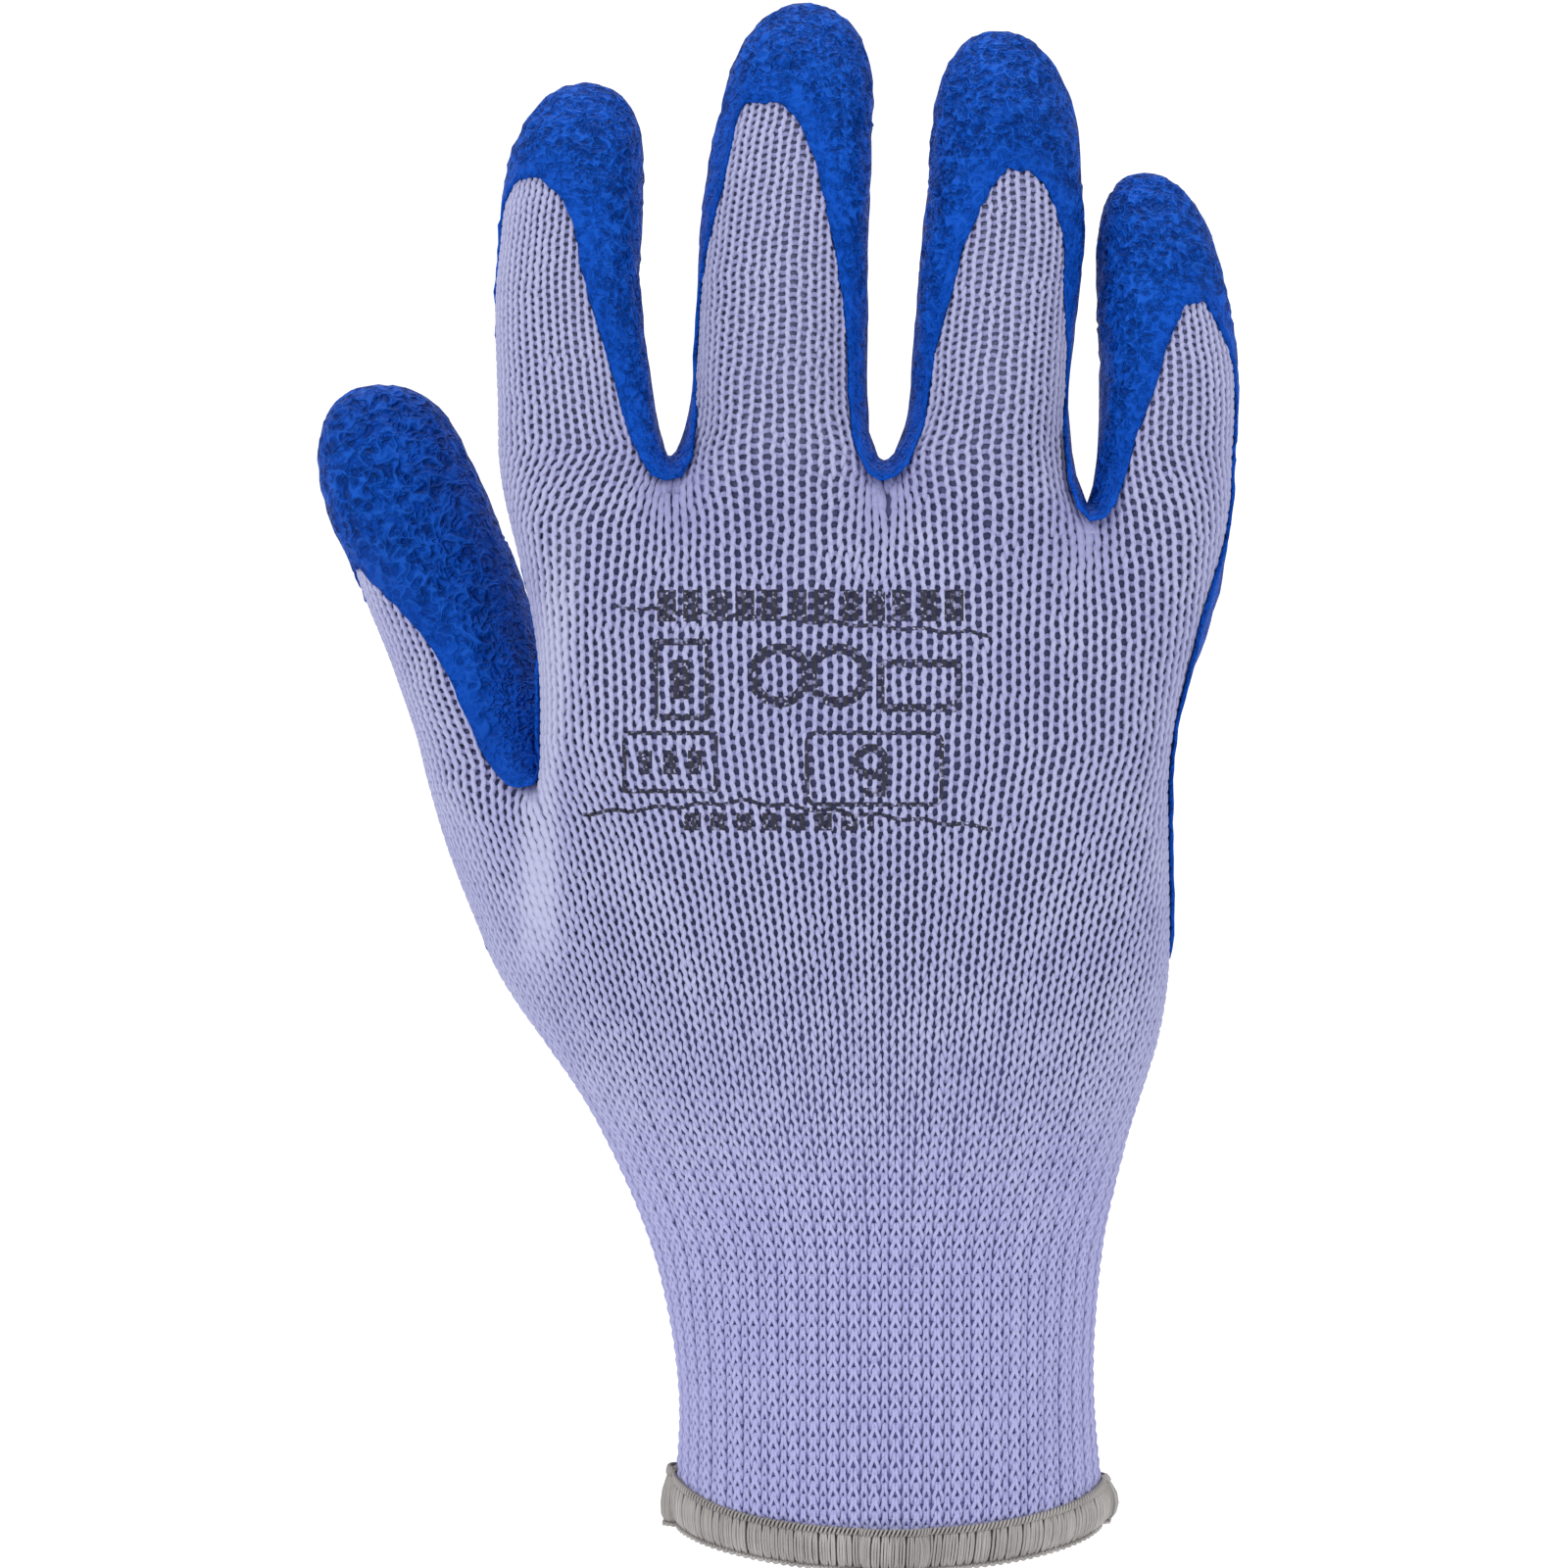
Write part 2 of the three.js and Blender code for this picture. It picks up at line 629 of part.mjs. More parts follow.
// A closed wall over the given cells, between two distances from the liner's outer face.
function wallGeometry(cells, outerDistance, innerDistance, normals, steps) {
  const places = new Map();
  const positions = [];
  const triangles = [];
  const place = (point, distance) => {
    const key = `${point},${distance}`;
    if (!places.has(key)) {
      const at = net.points[point].clone().addScaledVector(normals[point], distance);
      if (steps.has(point)) {
        at.add(steps.get(point));
      }
      positions.push(at.x, at.y, at.z);
      places.set(key, positions.length / 3 - 1);
    }
    return places.get(key);
  };
  const edges = new Map();
  cells.forEach(({ corners }) => {
    const outer = corners.map((point) => place(point, outerDistance));
    const inner = corners.map((point) => place(point, innerDistance));
    cellTriangles(corners).forEach(([a, b, c]) => {
      triangles.push(outer[a], outer[b], outer[c]);
      triangles.push(inner[a], inner[c], inner[b]);
    });
    corners.forEach((a, i) => {
      const b = corners[(i + 1) % corners.length];
      if (!edges.delete(`${b},${a}`)) {
        edges.set(`${a},${b}`, [a, b]);
      }
    });
  });
  edges.forEach(([a, b]) => {
    const outerA = place(a, outerDistance);
    const outerB = place(b, outerDistance);
    const innerA = place(a, innerDistance);
    const innerB = place(b, innerDistance);
    if (a < b) {
      triangles.push(outerB, outerA, innerB);
      triangles.push(outerA, innerA, innerB);
    } else {
      triangles.push(outerB, outerA, innerA);
      triangles.push(outerB, innerA, innerB);
    }
  });
  return closedGeometry(positions, triangles);
}

function closedGeometry(positions, triangles) {
  const geometry = new THREE.BufferGeometry();
  geometry.setAttribute('position', new THREE.Float32BufferAttribute(positions, 3));
  geometry.setIndex(triangles);
  geometry.computeVertexNormals();
  return geometry;
}

// The hem's section carried round the edge of the cuff.
function hemGeometry(edgeRing, normals) {
  const rowAbove = edgeRing.map((point) => point - edgeRing.length);
  const positions = [];
  const triangles = [];
  edgeRing.forEach((point, i) => {
    const edge = net.points[point];
    const up = new THREE.Vector3().subVectors(net.points[rowAbove[i]], edge).normalize();
    HEM_PROFILE.forEach((corner) => {
      const at = edge.clone().addScaledVector(normals[point], corner.out).addScaledVector(up, corner.up);
      positions.push(at.x, at.y, at.z);
    });
  });
  const sides = HEM_PROFILE.length;
  edgeRing.forEach((_, i) => {
    const next = (i + 1) % edgeRing.length;
    for (let side = 0; side < sides; side += 1) {
      const a = i * sides + side;
      const b = i * sides + ((side + 1) % sides);
      const c = next * sides + ((side + 1) % sides);
      const d = next * sides + side;
      triangles.push(a, b, c);
      triangles.push(a, c, d);
    }
  });
  return closedGeometry(positions, triangles);
}

function addMesh(group, name, geometry, finish) {
  const mesh = new THREE.Mesh(geometry, new THREE.MeshStandardMaterial(FINISHES[finish]));
  mesh.name = name;
  group.add(mesh);
}

const cuffEdge = buildNet();
const normals = pointNormals();
cuffEdge.forEach((point) => normals[point].setZ(0).normalize());

const group = new THREE.Group();
const linerSections = ['knit_cuff', 'knit_palm', THUMB.name, ...FINGERS.map(({ name }) => name)];
linerSections.forEach((name) => {
  const cells = net.cells.filter(({ section }) => section === name);
  addMesh(group, name, wallGeometry(cells, 0, -LINER_WALL, normals, edgeSteps(cells)), 'knit');
});

const coatCells = net.cells.filter(({ coated }) => coated);
const coatOuter = CLEARANCE + COAT_THICKNESS;
addMesh(group, 'latex_coating', wallGeometry(coatCells, coatOuter, CLEARANCE, normals, new Map()), 'latex');
addMesh(group, 'overlock_hem', hemGeometry(cuffEdge, normals), 'hem');

export default group;
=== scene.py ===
"""Latex-dipped knitted work glove, worn form: the looks built round the packed solids.

The liner is knitted course by course in real yarn over a thin backing whose outer face is painted
shade, the dark seen through the net, the latex is a coat that thins towards its edge, and the wrist
is overlocked in grey thread. Everything is in metres, in the frame of the solids: +Z to the
fingertips, -Y out of the back of the hand, -X the thumb side.
"""

import math
from functools import cached_property

import bmesh
import bpy
import numpy as np
from bpy.props import FloatProperty, FloatVectorProperty, IntProperty, PointerProperty
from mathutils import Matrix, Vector, noise
from mathutils.bvhtree import BVHTree
from mathutils.kdtree import KDTree


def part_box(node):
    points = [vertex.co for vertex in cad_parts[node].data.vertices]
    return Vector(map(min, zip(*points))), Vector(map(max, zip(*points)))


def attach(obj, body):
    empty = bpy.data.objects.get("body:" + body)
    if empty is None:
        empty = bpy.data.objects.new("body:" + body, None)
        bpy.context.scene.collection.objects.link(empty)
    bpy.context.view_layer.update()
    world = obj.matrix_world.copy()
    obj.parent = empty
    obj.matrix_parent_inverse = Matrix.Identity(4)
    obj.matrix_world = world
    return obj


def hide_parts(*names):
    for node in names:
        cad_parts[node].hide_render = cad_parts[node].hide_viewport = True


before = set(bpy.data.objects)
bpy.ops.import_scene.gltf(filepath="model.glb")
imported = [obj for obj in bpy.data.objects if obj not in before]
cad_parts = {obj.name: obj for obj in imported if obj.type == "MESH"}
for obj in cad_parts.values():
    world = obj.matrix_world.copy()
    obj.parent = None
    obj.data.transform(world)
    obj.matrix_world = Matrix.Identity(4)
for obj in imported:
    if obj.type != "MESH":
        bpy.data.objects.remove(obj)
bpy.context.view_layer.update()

bl_info = {
    "name": "Latex-dipped glove",
    "version": (1, 0, 0),
    "blender": (4, 5, 0),
    "location": "3D View > Sidebar > Glove",
    "description": "Knits the liner of a work glove, dips it in latex and overlocks its wrist",
    "category": "Object",
}

MM = 0.001

# The wall of the liner, in millimetres.
LINER_WALL = 1.6
# Points of a solid that are nearer than this are one point.
SAME_POINT = 0.0001 * MM

FINGER_NODES = ("knit_index", "knit_middle", "knit_ring", "knit_little")
LINER_NODES = ("knit_cuff", "knit_palm", "knit_thumb", *FINGER_NODES)

# Heights that the knitting changes at, in millimetres: the lowest whole ring above the dip of the
# hem, the last ring with the thumb in it, the first without, where the wales of the hand begin to
# turn towards the fingers, the last ring below the webs, and the first ring of each finger.
LOWEST_RING = 9.5
FORK_FROM = 118.5
FORK_TO = 127.5
TOWARDS_FINGERS = 148.0
HAND_TOP = 165.0
FINGER_START = 177.0
# Where the yarn of the cuff becomes that of the heel of the hand.
CUFF_TOP = 60.0

# The knitting by height: pitch of the wales on the back of the hand, pitch of the courses, thickness
# of the yarn, how far every second wale of the ribs stands back, and how far the legs of a stitch
# lean. Millimetres, and the lean in wales.
KNITTING = {
    "height": (0.0, 50.0, 62.0, 74.0, 97.0, 117.0, 130.0, 165.0, 178.0, 192.0, 250.0),
    "wale": (1.62, 1.64, 1.86, 2.12, 2.50, 2.86, 3.10, 3.15, 3.20, 3.30, 3.30),
    "course": (2.08, 2.05, 1.90, 1.80, 1.78, 1.82, 1.86, 1.84, 1.62, 1.38, 1.34),
    "yarn": (0.74, 0.74, 0.78, 0.80, 0.88, 0.98, 1.02, 1.02, 0.98, 0.94, 0.94),
    "rib": (0.40, 0.40, 0.34, 0.18, 0.0, 0.0, 0.0, 0.0, 0.0, 0.0, 0.0),
    "lean": (0.31, 0.31, 0.29, 0.25, 0.20, 0.165, 0.155, 0.155, 0.155, 0.15, 0.15),
}

# Wales right round the wrist. Each is named by how many lie between it and the middle of the back.
WALES = 110
# Wales to each side of the middle of the hand, and wales past each side of a finger.
HAND_WALES = 26.0
PAST_FINGER = 3
# First and last wale of the thumb, and the wale that parts it from the hand at the fork.
THUMB_WALES = (-36.0, -19.0)
THUMB_SPLIT = -20.0
# How much the wales bunch together under the webs.
WEB_BUNCHING = 0.22

# Seeds of the yarn's unevenness, of the ragged edge of the coat and of the hem.
YARN_SEED, COAT_SEED, HEM_SEED = 11, 7, 23

# Bottom of each gap between the fingers, how much lower its web lies than in the solids, and how
# much wider the gap is on each side just above it: across, up, lower and wider, in millimetres.
WEBS = ((-34.0, 177.0, 0.8, 1.0), (-0.9, 176.4, 1.8, 1.6), (31.1, 171.0, 3.5, 1.3))

# Where the stitches are pressed shut below the thumb: place across at this height and below it, and
# how far it moves across with each millimetre up.
FOLD_ACROSS, FOLD_HEIGHT, FOLD_LEAN = -55.4, 124.0, 0.12

# How far the edge of the coat is drawn back round the little finger's side of the hand, by height,
# and the same on the outer side of the index finger. Millimetres.
DRAWN_BACK = ((98.0, 7.0), (106.0, 6.8), (114.0, 5.6), (122.0, 4.4), (132.0, 3.8), (141.0, 2.4),
              (149.0, 0.0), (155.0, 0.3), (163.0, 3.2), (185.0, 3.8), (206.0, 3.0), (216.0, 0.4))
DRAWN_BACK_INSIDE = ((144.0, 0.0), (150.0, 1.8), (190.0, 1.8), (198.0, 0.0))

# Section of one turn of the overlock thread round the edge: out from it and up, in millimetres.
HEM_TURN = (
    (-0.25, 5.3), (0.55, 5.1), (1.12, 4.3), (1.48, 3.1), (1.56, 1.8), (1.36, 0.5), (0.85, -0.6),
    (-0.7, -1.15), (-2.1, -0.5), (-2.55, 1.0), (-2.5, 2.6), (-1.95, 3.1),
)
HEM_MIDDLE = (-0.7, 1.9)
HEM_PLIES = 3
# How much further out and up the hem stands where it turns round the little finger's side of the
# wrist, and round the thumb's.
HEM_BULGE = (1.4, 0.3)
HEM_RISE = (1.5, 2.8)


def knitting(height_mm, part):
    """A part of the knitting at a height."""
    return np.interp(height_mm, KNITTING["height"], KNITTING[part])


def ease(value, start, end):
    """0 before start, 1 after end, and smooth between them."""
    share = np.clip((np.asarray(value, float) - start) / (end - start), 0.0, 1.0)
    return share * share * (3.0 - 2.0 * share)


def unit(vectors):
    """The vectors at a length of one."""
    return vectors / np.maximum(np.linalg.norm(vectors, axis=-1, keepdims=True), 1e-12)


def lengths_along(points):
    """How far along a line each of its points lies."""
    return np.concatenate([[0.0], np.cumsum(np.linalg.norm(np.diff(points, axis=0), axis=1))])


def places_along(way, lengths, points):
    """Points by their way along a line."""
    return np.stack([np.interp(way, lengths, part) for part in points.T], -1)


def chained(links, start=None):
    """Lines through linked places, one after the other, each followed until it closes."""
    while links:
        here = next(iter(links)) if start is None else start
        start = None
        chain = []
        while here is not None:
            chain.append(here)
            ahead = links.pop(here)
            here = next((step for step in ahead if step in links), None)
        yield chain


def rows_of(items, name, kind=float, width=3):
    """One value of every item, as rows."""
    flat = np.empty(len(items) * width, kind)
    items.foreach_get(name, flat)
    return flat.reshape(-1, width)


def mesh_points(mesh):
    return rows_of(mesh.vertices, "co")


def mesh_normals(mesh):
    return rows_of(mesh.vertex_normals, "vector")


def place_points(mesh, points):
    mesh.vertices.foreach_set("co", np.ascontiguousarray(points, float).ravel())
    mesh.update()


def hold(mesh, name, values):
    """Keeps a number at each point of a mesh, for its material."""
    held = mesh.attributes.new(name, "FLOAT", "POINT")
    held.data.foreach_set("value", values.astype(np.float32))


# Skin: the smooth outer face of the liner and of the coat


def look_directions():
    """Where a face looks for the open air: a little up, half way up and straight up."""
    looks = [Vector((0.0, 0.0, 1.0))]
    for rise in (0.35, 1.0):
        for turn in range(12):
            angle = 2.0 * math.pi * turn / 12
            looks.append(Vector((math.cos(angle), math.sin(angle), rise)))
    return looks


def merged_copy(names, weld=SAME_POINT):
    """One mesh of the named solids with their doubles merged, which also closes the gaps."""
    cage = bmesh.new()
    for name in names:
        cage.from_mesh(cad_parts[name].data)
    bmesh.ops.remove_doubles(cage, verts=cage.verts, dist=weld)
    return cage


def take_away(cage, faces):
    """Deletes faces, and whatever is loose then."""
    bmesh.ops.delete(cage, geom=faces, context="FACES")
    loose = [vert for vert in cage.verts if not vert.link_faces]
    bmesh.ops.delete(cage, geom=loose, context="VERTS")


def keep_outer_faces(cage, tree):
    """Takes away the lining and the rims: every face that no rising ray leaves."""
    looks = look_directions()

    def hidden(face):
        start = face.calc_center_median() + face.normal * 0.05 * MM
        for look in looks:
            ray = (face.normal * 0.35 + look).normalized()
            rising = ray.z > -0.02 and ray.dot(face.normal) > 0.02
            if rising and tree.ray_cast(start, ray)[0] is None:
                return False
        return True

    take_away(cage, [face for face in cage.faces if hidden(face)])
    cage.verts.index_update()


def drop_rims(cage, base):
    """Takes away the faces that stand square to the base, and closes the small holes left."""
    take_away(cage, [
        face for face in cage.faces
        if base.find_nearest(face.calc_center_median())[1].dot(face.normal) < 0.5
    ])
    bmesh.ops.holes_fill(cage, edges=[edge for edge in cage.edges if edge.is_boundary], sides=14)
    cage.verts.index_update()


def subdivided(mesh, levels):
    """The mesh under a finished Subdivision Surface. Its own vertices come first."""
    carrier = bpy.data.objects.new("carrier", mesh)
    bpy.context.scene.collection.objects.link(carrier)
    smooth = carrier.modifiers.new("Smooth", "SUBSURF")
    smooth.levels = levels
    smooth.render_levels = levels
    bpy.context.view_layer.update()
    finished = carrier.evaluated_get(bpy.context.evaluated_depsgraph_get())
    result = bpy.data.meshes.new_from_object(finished)
    bpy.data.objects.remove(carrier)
    return result


def opened_webs(points):
    """Points of the fingers, moved a little round each web so that the gap ends round."""
    moved = points.copy()
    for across_mm, up_mm, lower, wider in WEBS:
        beside = points[:, 0] / MM - across_mm
        above = points[:, 2] / MM - up_mm
        aside = np.abs(beside)
        share = ease(above, -1.2, 1.0) * (1.0 - ease(above, 4.0, 10.0)) * (1.0 - ease(aside, 3.0, 10.0))
        moved[:, 0] += wider * MM * share * np.clip(beside / 0.6, -1.0, 1.0)
        share = ease(above, -3.5, -0.5) * (1.0 - ease(above, 3.0, 12.0)) * (1.0 - ease(aside, 1.5, 6.0))
        moved[:, 2] -= lower * MM * share
    return moved


def outer_cage(names, weld, blockers=(), base=None):
    """The outer face of the named solids in quads, pushed out so that its subdivision meets them."""
    cage = merged_copy(names, weld)
    sight = merged_copy(blockers) if blockers else cage.copy()
    keep_outer_faces(cage, BVHTree.FromBMesh(sight))
    sight.free()
    if base is not None:
        drop_rims(cage, base)
    bmesh.ops.join_triangles(
        cage, faces=cage.faces, angle_face_threshold=math.radians(50.0),
        angle_shape_threshold=math.radians(80.0),
    )
    mesh = bpy.data.meshes.new("cage")
    cage.to_mesh(mesh)
    cage.free()
    target = opened_webs(mesh_points(mesh))
    place_points(mesh, target)
    for _ in range(2):
        smooth = subdivided(mesh, 1)
        reached = mesh_points(smooth)[: len(target)]
        bpy.data.meshes.remove(smooth)
        place_points(mesh, mesh_points(mesh) + 0.6 * (target - reached))
    return mesh


class Skin:
    """A smooth face that can be cut by planes and asked for its nearest point."""

    def __init__(self, cage):
        self.mesh = subdivided(cage, 2)
        self.points = mesh_points(self.mesh)
        self.mesh.calc_loop_triangles()
        self.triangles = rows_of(self.mesh.loop_triangles, "vertices", np.int64)
        self.tree = BVHTree.FromPolygons(self.points.tolist(), self.triangles.tolist())

    def snapped(self, points):
        """The nearest points on the skin."""
        flat = points.reshape(-1, 3)
        nearest = [self.tree.find_nearest(Vector(point))[0] for point in flat]
        return np.array(nearest).reshape(points.shape)

    def rings(self, origin, direction):
        """The closed lines that a plane cuts the skin along."""
        side = (self.points - origin) @ direction
        above = side > 0.0
        corners = above[self.triangles]
        links = {}
        for corner in self.triangles[corners.any(1) & ~corners.all(1)].tolist():
            ends = [
                (min(pair), max(pair)) for pair in zip(corner, corner[1:] + corner[:1])
                if above[pair[0]] != above[pair[1]]
            ]
            links.setdefault(ends[0], []).append(ends[1])
            links.setdefault(ends[1], []).append(ends[0])
        found = []
        for chain in chained(links):
            low, high = np.array(chain).T
            share = (side[low] / (side[low] - side[high]))[:, None]
            found.append(Ring(self.points[low] * (1.0 - share) + self.points[high] * share))
        return found

    def edge(self):
        """The open edge of the skin, round the wrist."""
        shape = bmesh.new()
        shape.from_mesh(self.mesh)
        links = {}
        for rim in shape.edges:
            if rim.is_boundary:
                one, other = (vert.index for vert in rim.verts)
                links.setdefault(one, []).append(other)
                links.setdefault(other, []).append(one)
        shape.free()
        lowest = min(links, key=lambda index: self.points[index][2])
        return Ring(self.points[next(chained(links, lowest))])


class Ring:
    """A closed line round a tube, run so that it goes to +X across the back of the hand."""

    def __init__(self, points):
        after = np.roll(points, -1, axis=0)
        if np.sum(points[:, 0] * after[:, 1] - after[:, 0] * points[:, 1]) < 0.0:
            points = points[::-1]
        self.points = np.vstack([points, points[:1]])
        self.arc = lengths_along(self.points)
        self.length = self.arc[-1]
        self.centre = points.mean(0)

    def at(self, arc):
        """Points by their way round the ring."""
        return places_along(np.mod(arc, self.length), self.arc, self.points)

    def in_front(self, x):
        """The way round at which the ring passes x, or comes nearest to it, on the back."""
        over = self.points[:, 0]
        x = np.clip(x, over.min() + 0.3 * MM, over.max() - 0.3 * MM)
        step = np.diff(over)
        share = (x - over[:-1]) / np.where(step == 0.0, 1e-9, step)
        passes = np.nonzero((share >= 0.0) & (share < 1.0))[0]
        if not len(passes):
            raise RuntimeError("a ring of the skin doesn't pass the asked place")
        depth = self.points[:, 1]
        reached = depth[passes] + share[passes] * (depth[passes + 1] - depth[passes])
        chosen = passes[np.argmin(reached)]
        return self.arc[chosen] + share[chosen] * (self.arc[chosen + 1] - self.arc[chosen])

    def leftmost(self):
        """The way round to the middle of the thumb side."""
        x = self.points[:-1, 0]
        way = self.arc[:-1]
        first = way[np.argmin(x)]
        near = np.mod(way - first + 0.5 * self.length, self.length) - 0.5 * self.length
        weight = np.exp(-((x - x.min()) / (0.6 * MM)))
        return first + np.sum(near * weight) / np.sum(weight)


# Layout of the wales and courses on the skin


def wale_pitch(height):
    """The pitch of the wales on the back at a height in millimetres."""
    return knitting(height, "wale") * MM


class Columns:
    """Lines that the wales follow, as rings of points at rising levels, half a wale apart."""

    # Rings carried on past a fork, and steps from the last of them to the next.
    FORK_RINGS = 5

    def __init__(self, first, last, below=None, pick=None):
        """Past a fork, the columns picked from those below are carried on."""
        self.wales = np.arange(round(2 * first), round(2 * last) + 1) / 2.0
        self.levels = []
        self.rings = []
        if below is not None:
            picked = np.isin(below.wales, self.wales) if pick is None else pick(self.wales)
            self.levels = below.levels[-self.FORK_RINGS:]
            self.rings = [points[picked] for points in below.rings[-self.FORK_RINGS:]]
        self.at_fork = below is not None

    def add(self, level, points, skin):
        """A ring of points. The first past a fork is led up to on the skin."""
        if self.at_fork:
            start, below = self.levels[-1], self.rings[-1]
            for step in range(1, self.FORK_RINGS):
                share = step / self.FORK_RINGS
                self.levels.append(start + (level - start) * share)
                self.rings.append(skin.snapped(below * (1.0 - share) + points * share))
        self.at_fork = False
        self.levels.append(level)
        self.rings.append(points)

    def at(self, levels):
        """The points of every column, each at its own level."""
        known = np.array(self.levels)
        rings = np.array(self.rings)
        place = np.interp(levels, known, np.arange(len(known)))
        below = np.clip(np.floor(place).astype(int), 0, len(known) - 2)
        share = (place - below)[..., None]
        column = np.broadcast_to(np.arange(len(self.wales)), levels.shape)
        return rings[below, column] * (1.0 - share) + rings[below + 1, column] * share


def across(ring, wales, pitch, evened):
    """Ways round a ring of the hand: even pitch on the back, and the rest made up on the palm."""
    start = ring.in_front(0.0)
    spare = (0.5 * ring.length - 0.5 * WALES * pitch) * evened
    return start + pitch * wales + spare * (wales / (0.5 * WALES)) ** 3


def level_ring(skin, height, near=None):
    """The longest ring at a height in millimetres, or the one nearest to a place."""
    rings = skin.rings(np.array([0.0, 0.0, height * MM]), np.array([0.0, 0.0, 1.0]))
    if near is None:
        return max(rings, key=lambda ring: ring.length)
    rings = [ring for ring in rings if ring.length > 20.0 * MM]
    return min(rings, key=lambda ring: np.linalg.norm((ring.centre - near)[:2]))


def box_centre(node):
    low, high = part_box(node)
    return 0.5 * (np.array(low) + np.array(high))


class Finger:
    """One finger tube: its lowest ring, and which wales of the hand run up its back."""

    def __init__(self, skin, node):
        self.node = node
        self.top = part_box(node)[1].z / MM
        self.first = level_ring(skin, FINGER_START, near=box_centre(node))

    def take(self, low, high):
        """Gives the finger its wales, from one side of it to the other."""
        self.low = low
        self.high = high
        self.wale = 0.5 * (low + high)
        self.reach = 0.5 * (high - low)

    def on(self, ring, wales):
        """Where the wales cross a ring of this finger."""
        middle = 0.5 * (ring.points[:, 0].min() + ring.points[:, 0].max())
        return ring.at(ring.in_front(middle) + (wales - self.wale) * 0.25 * ring.length / self.reach)


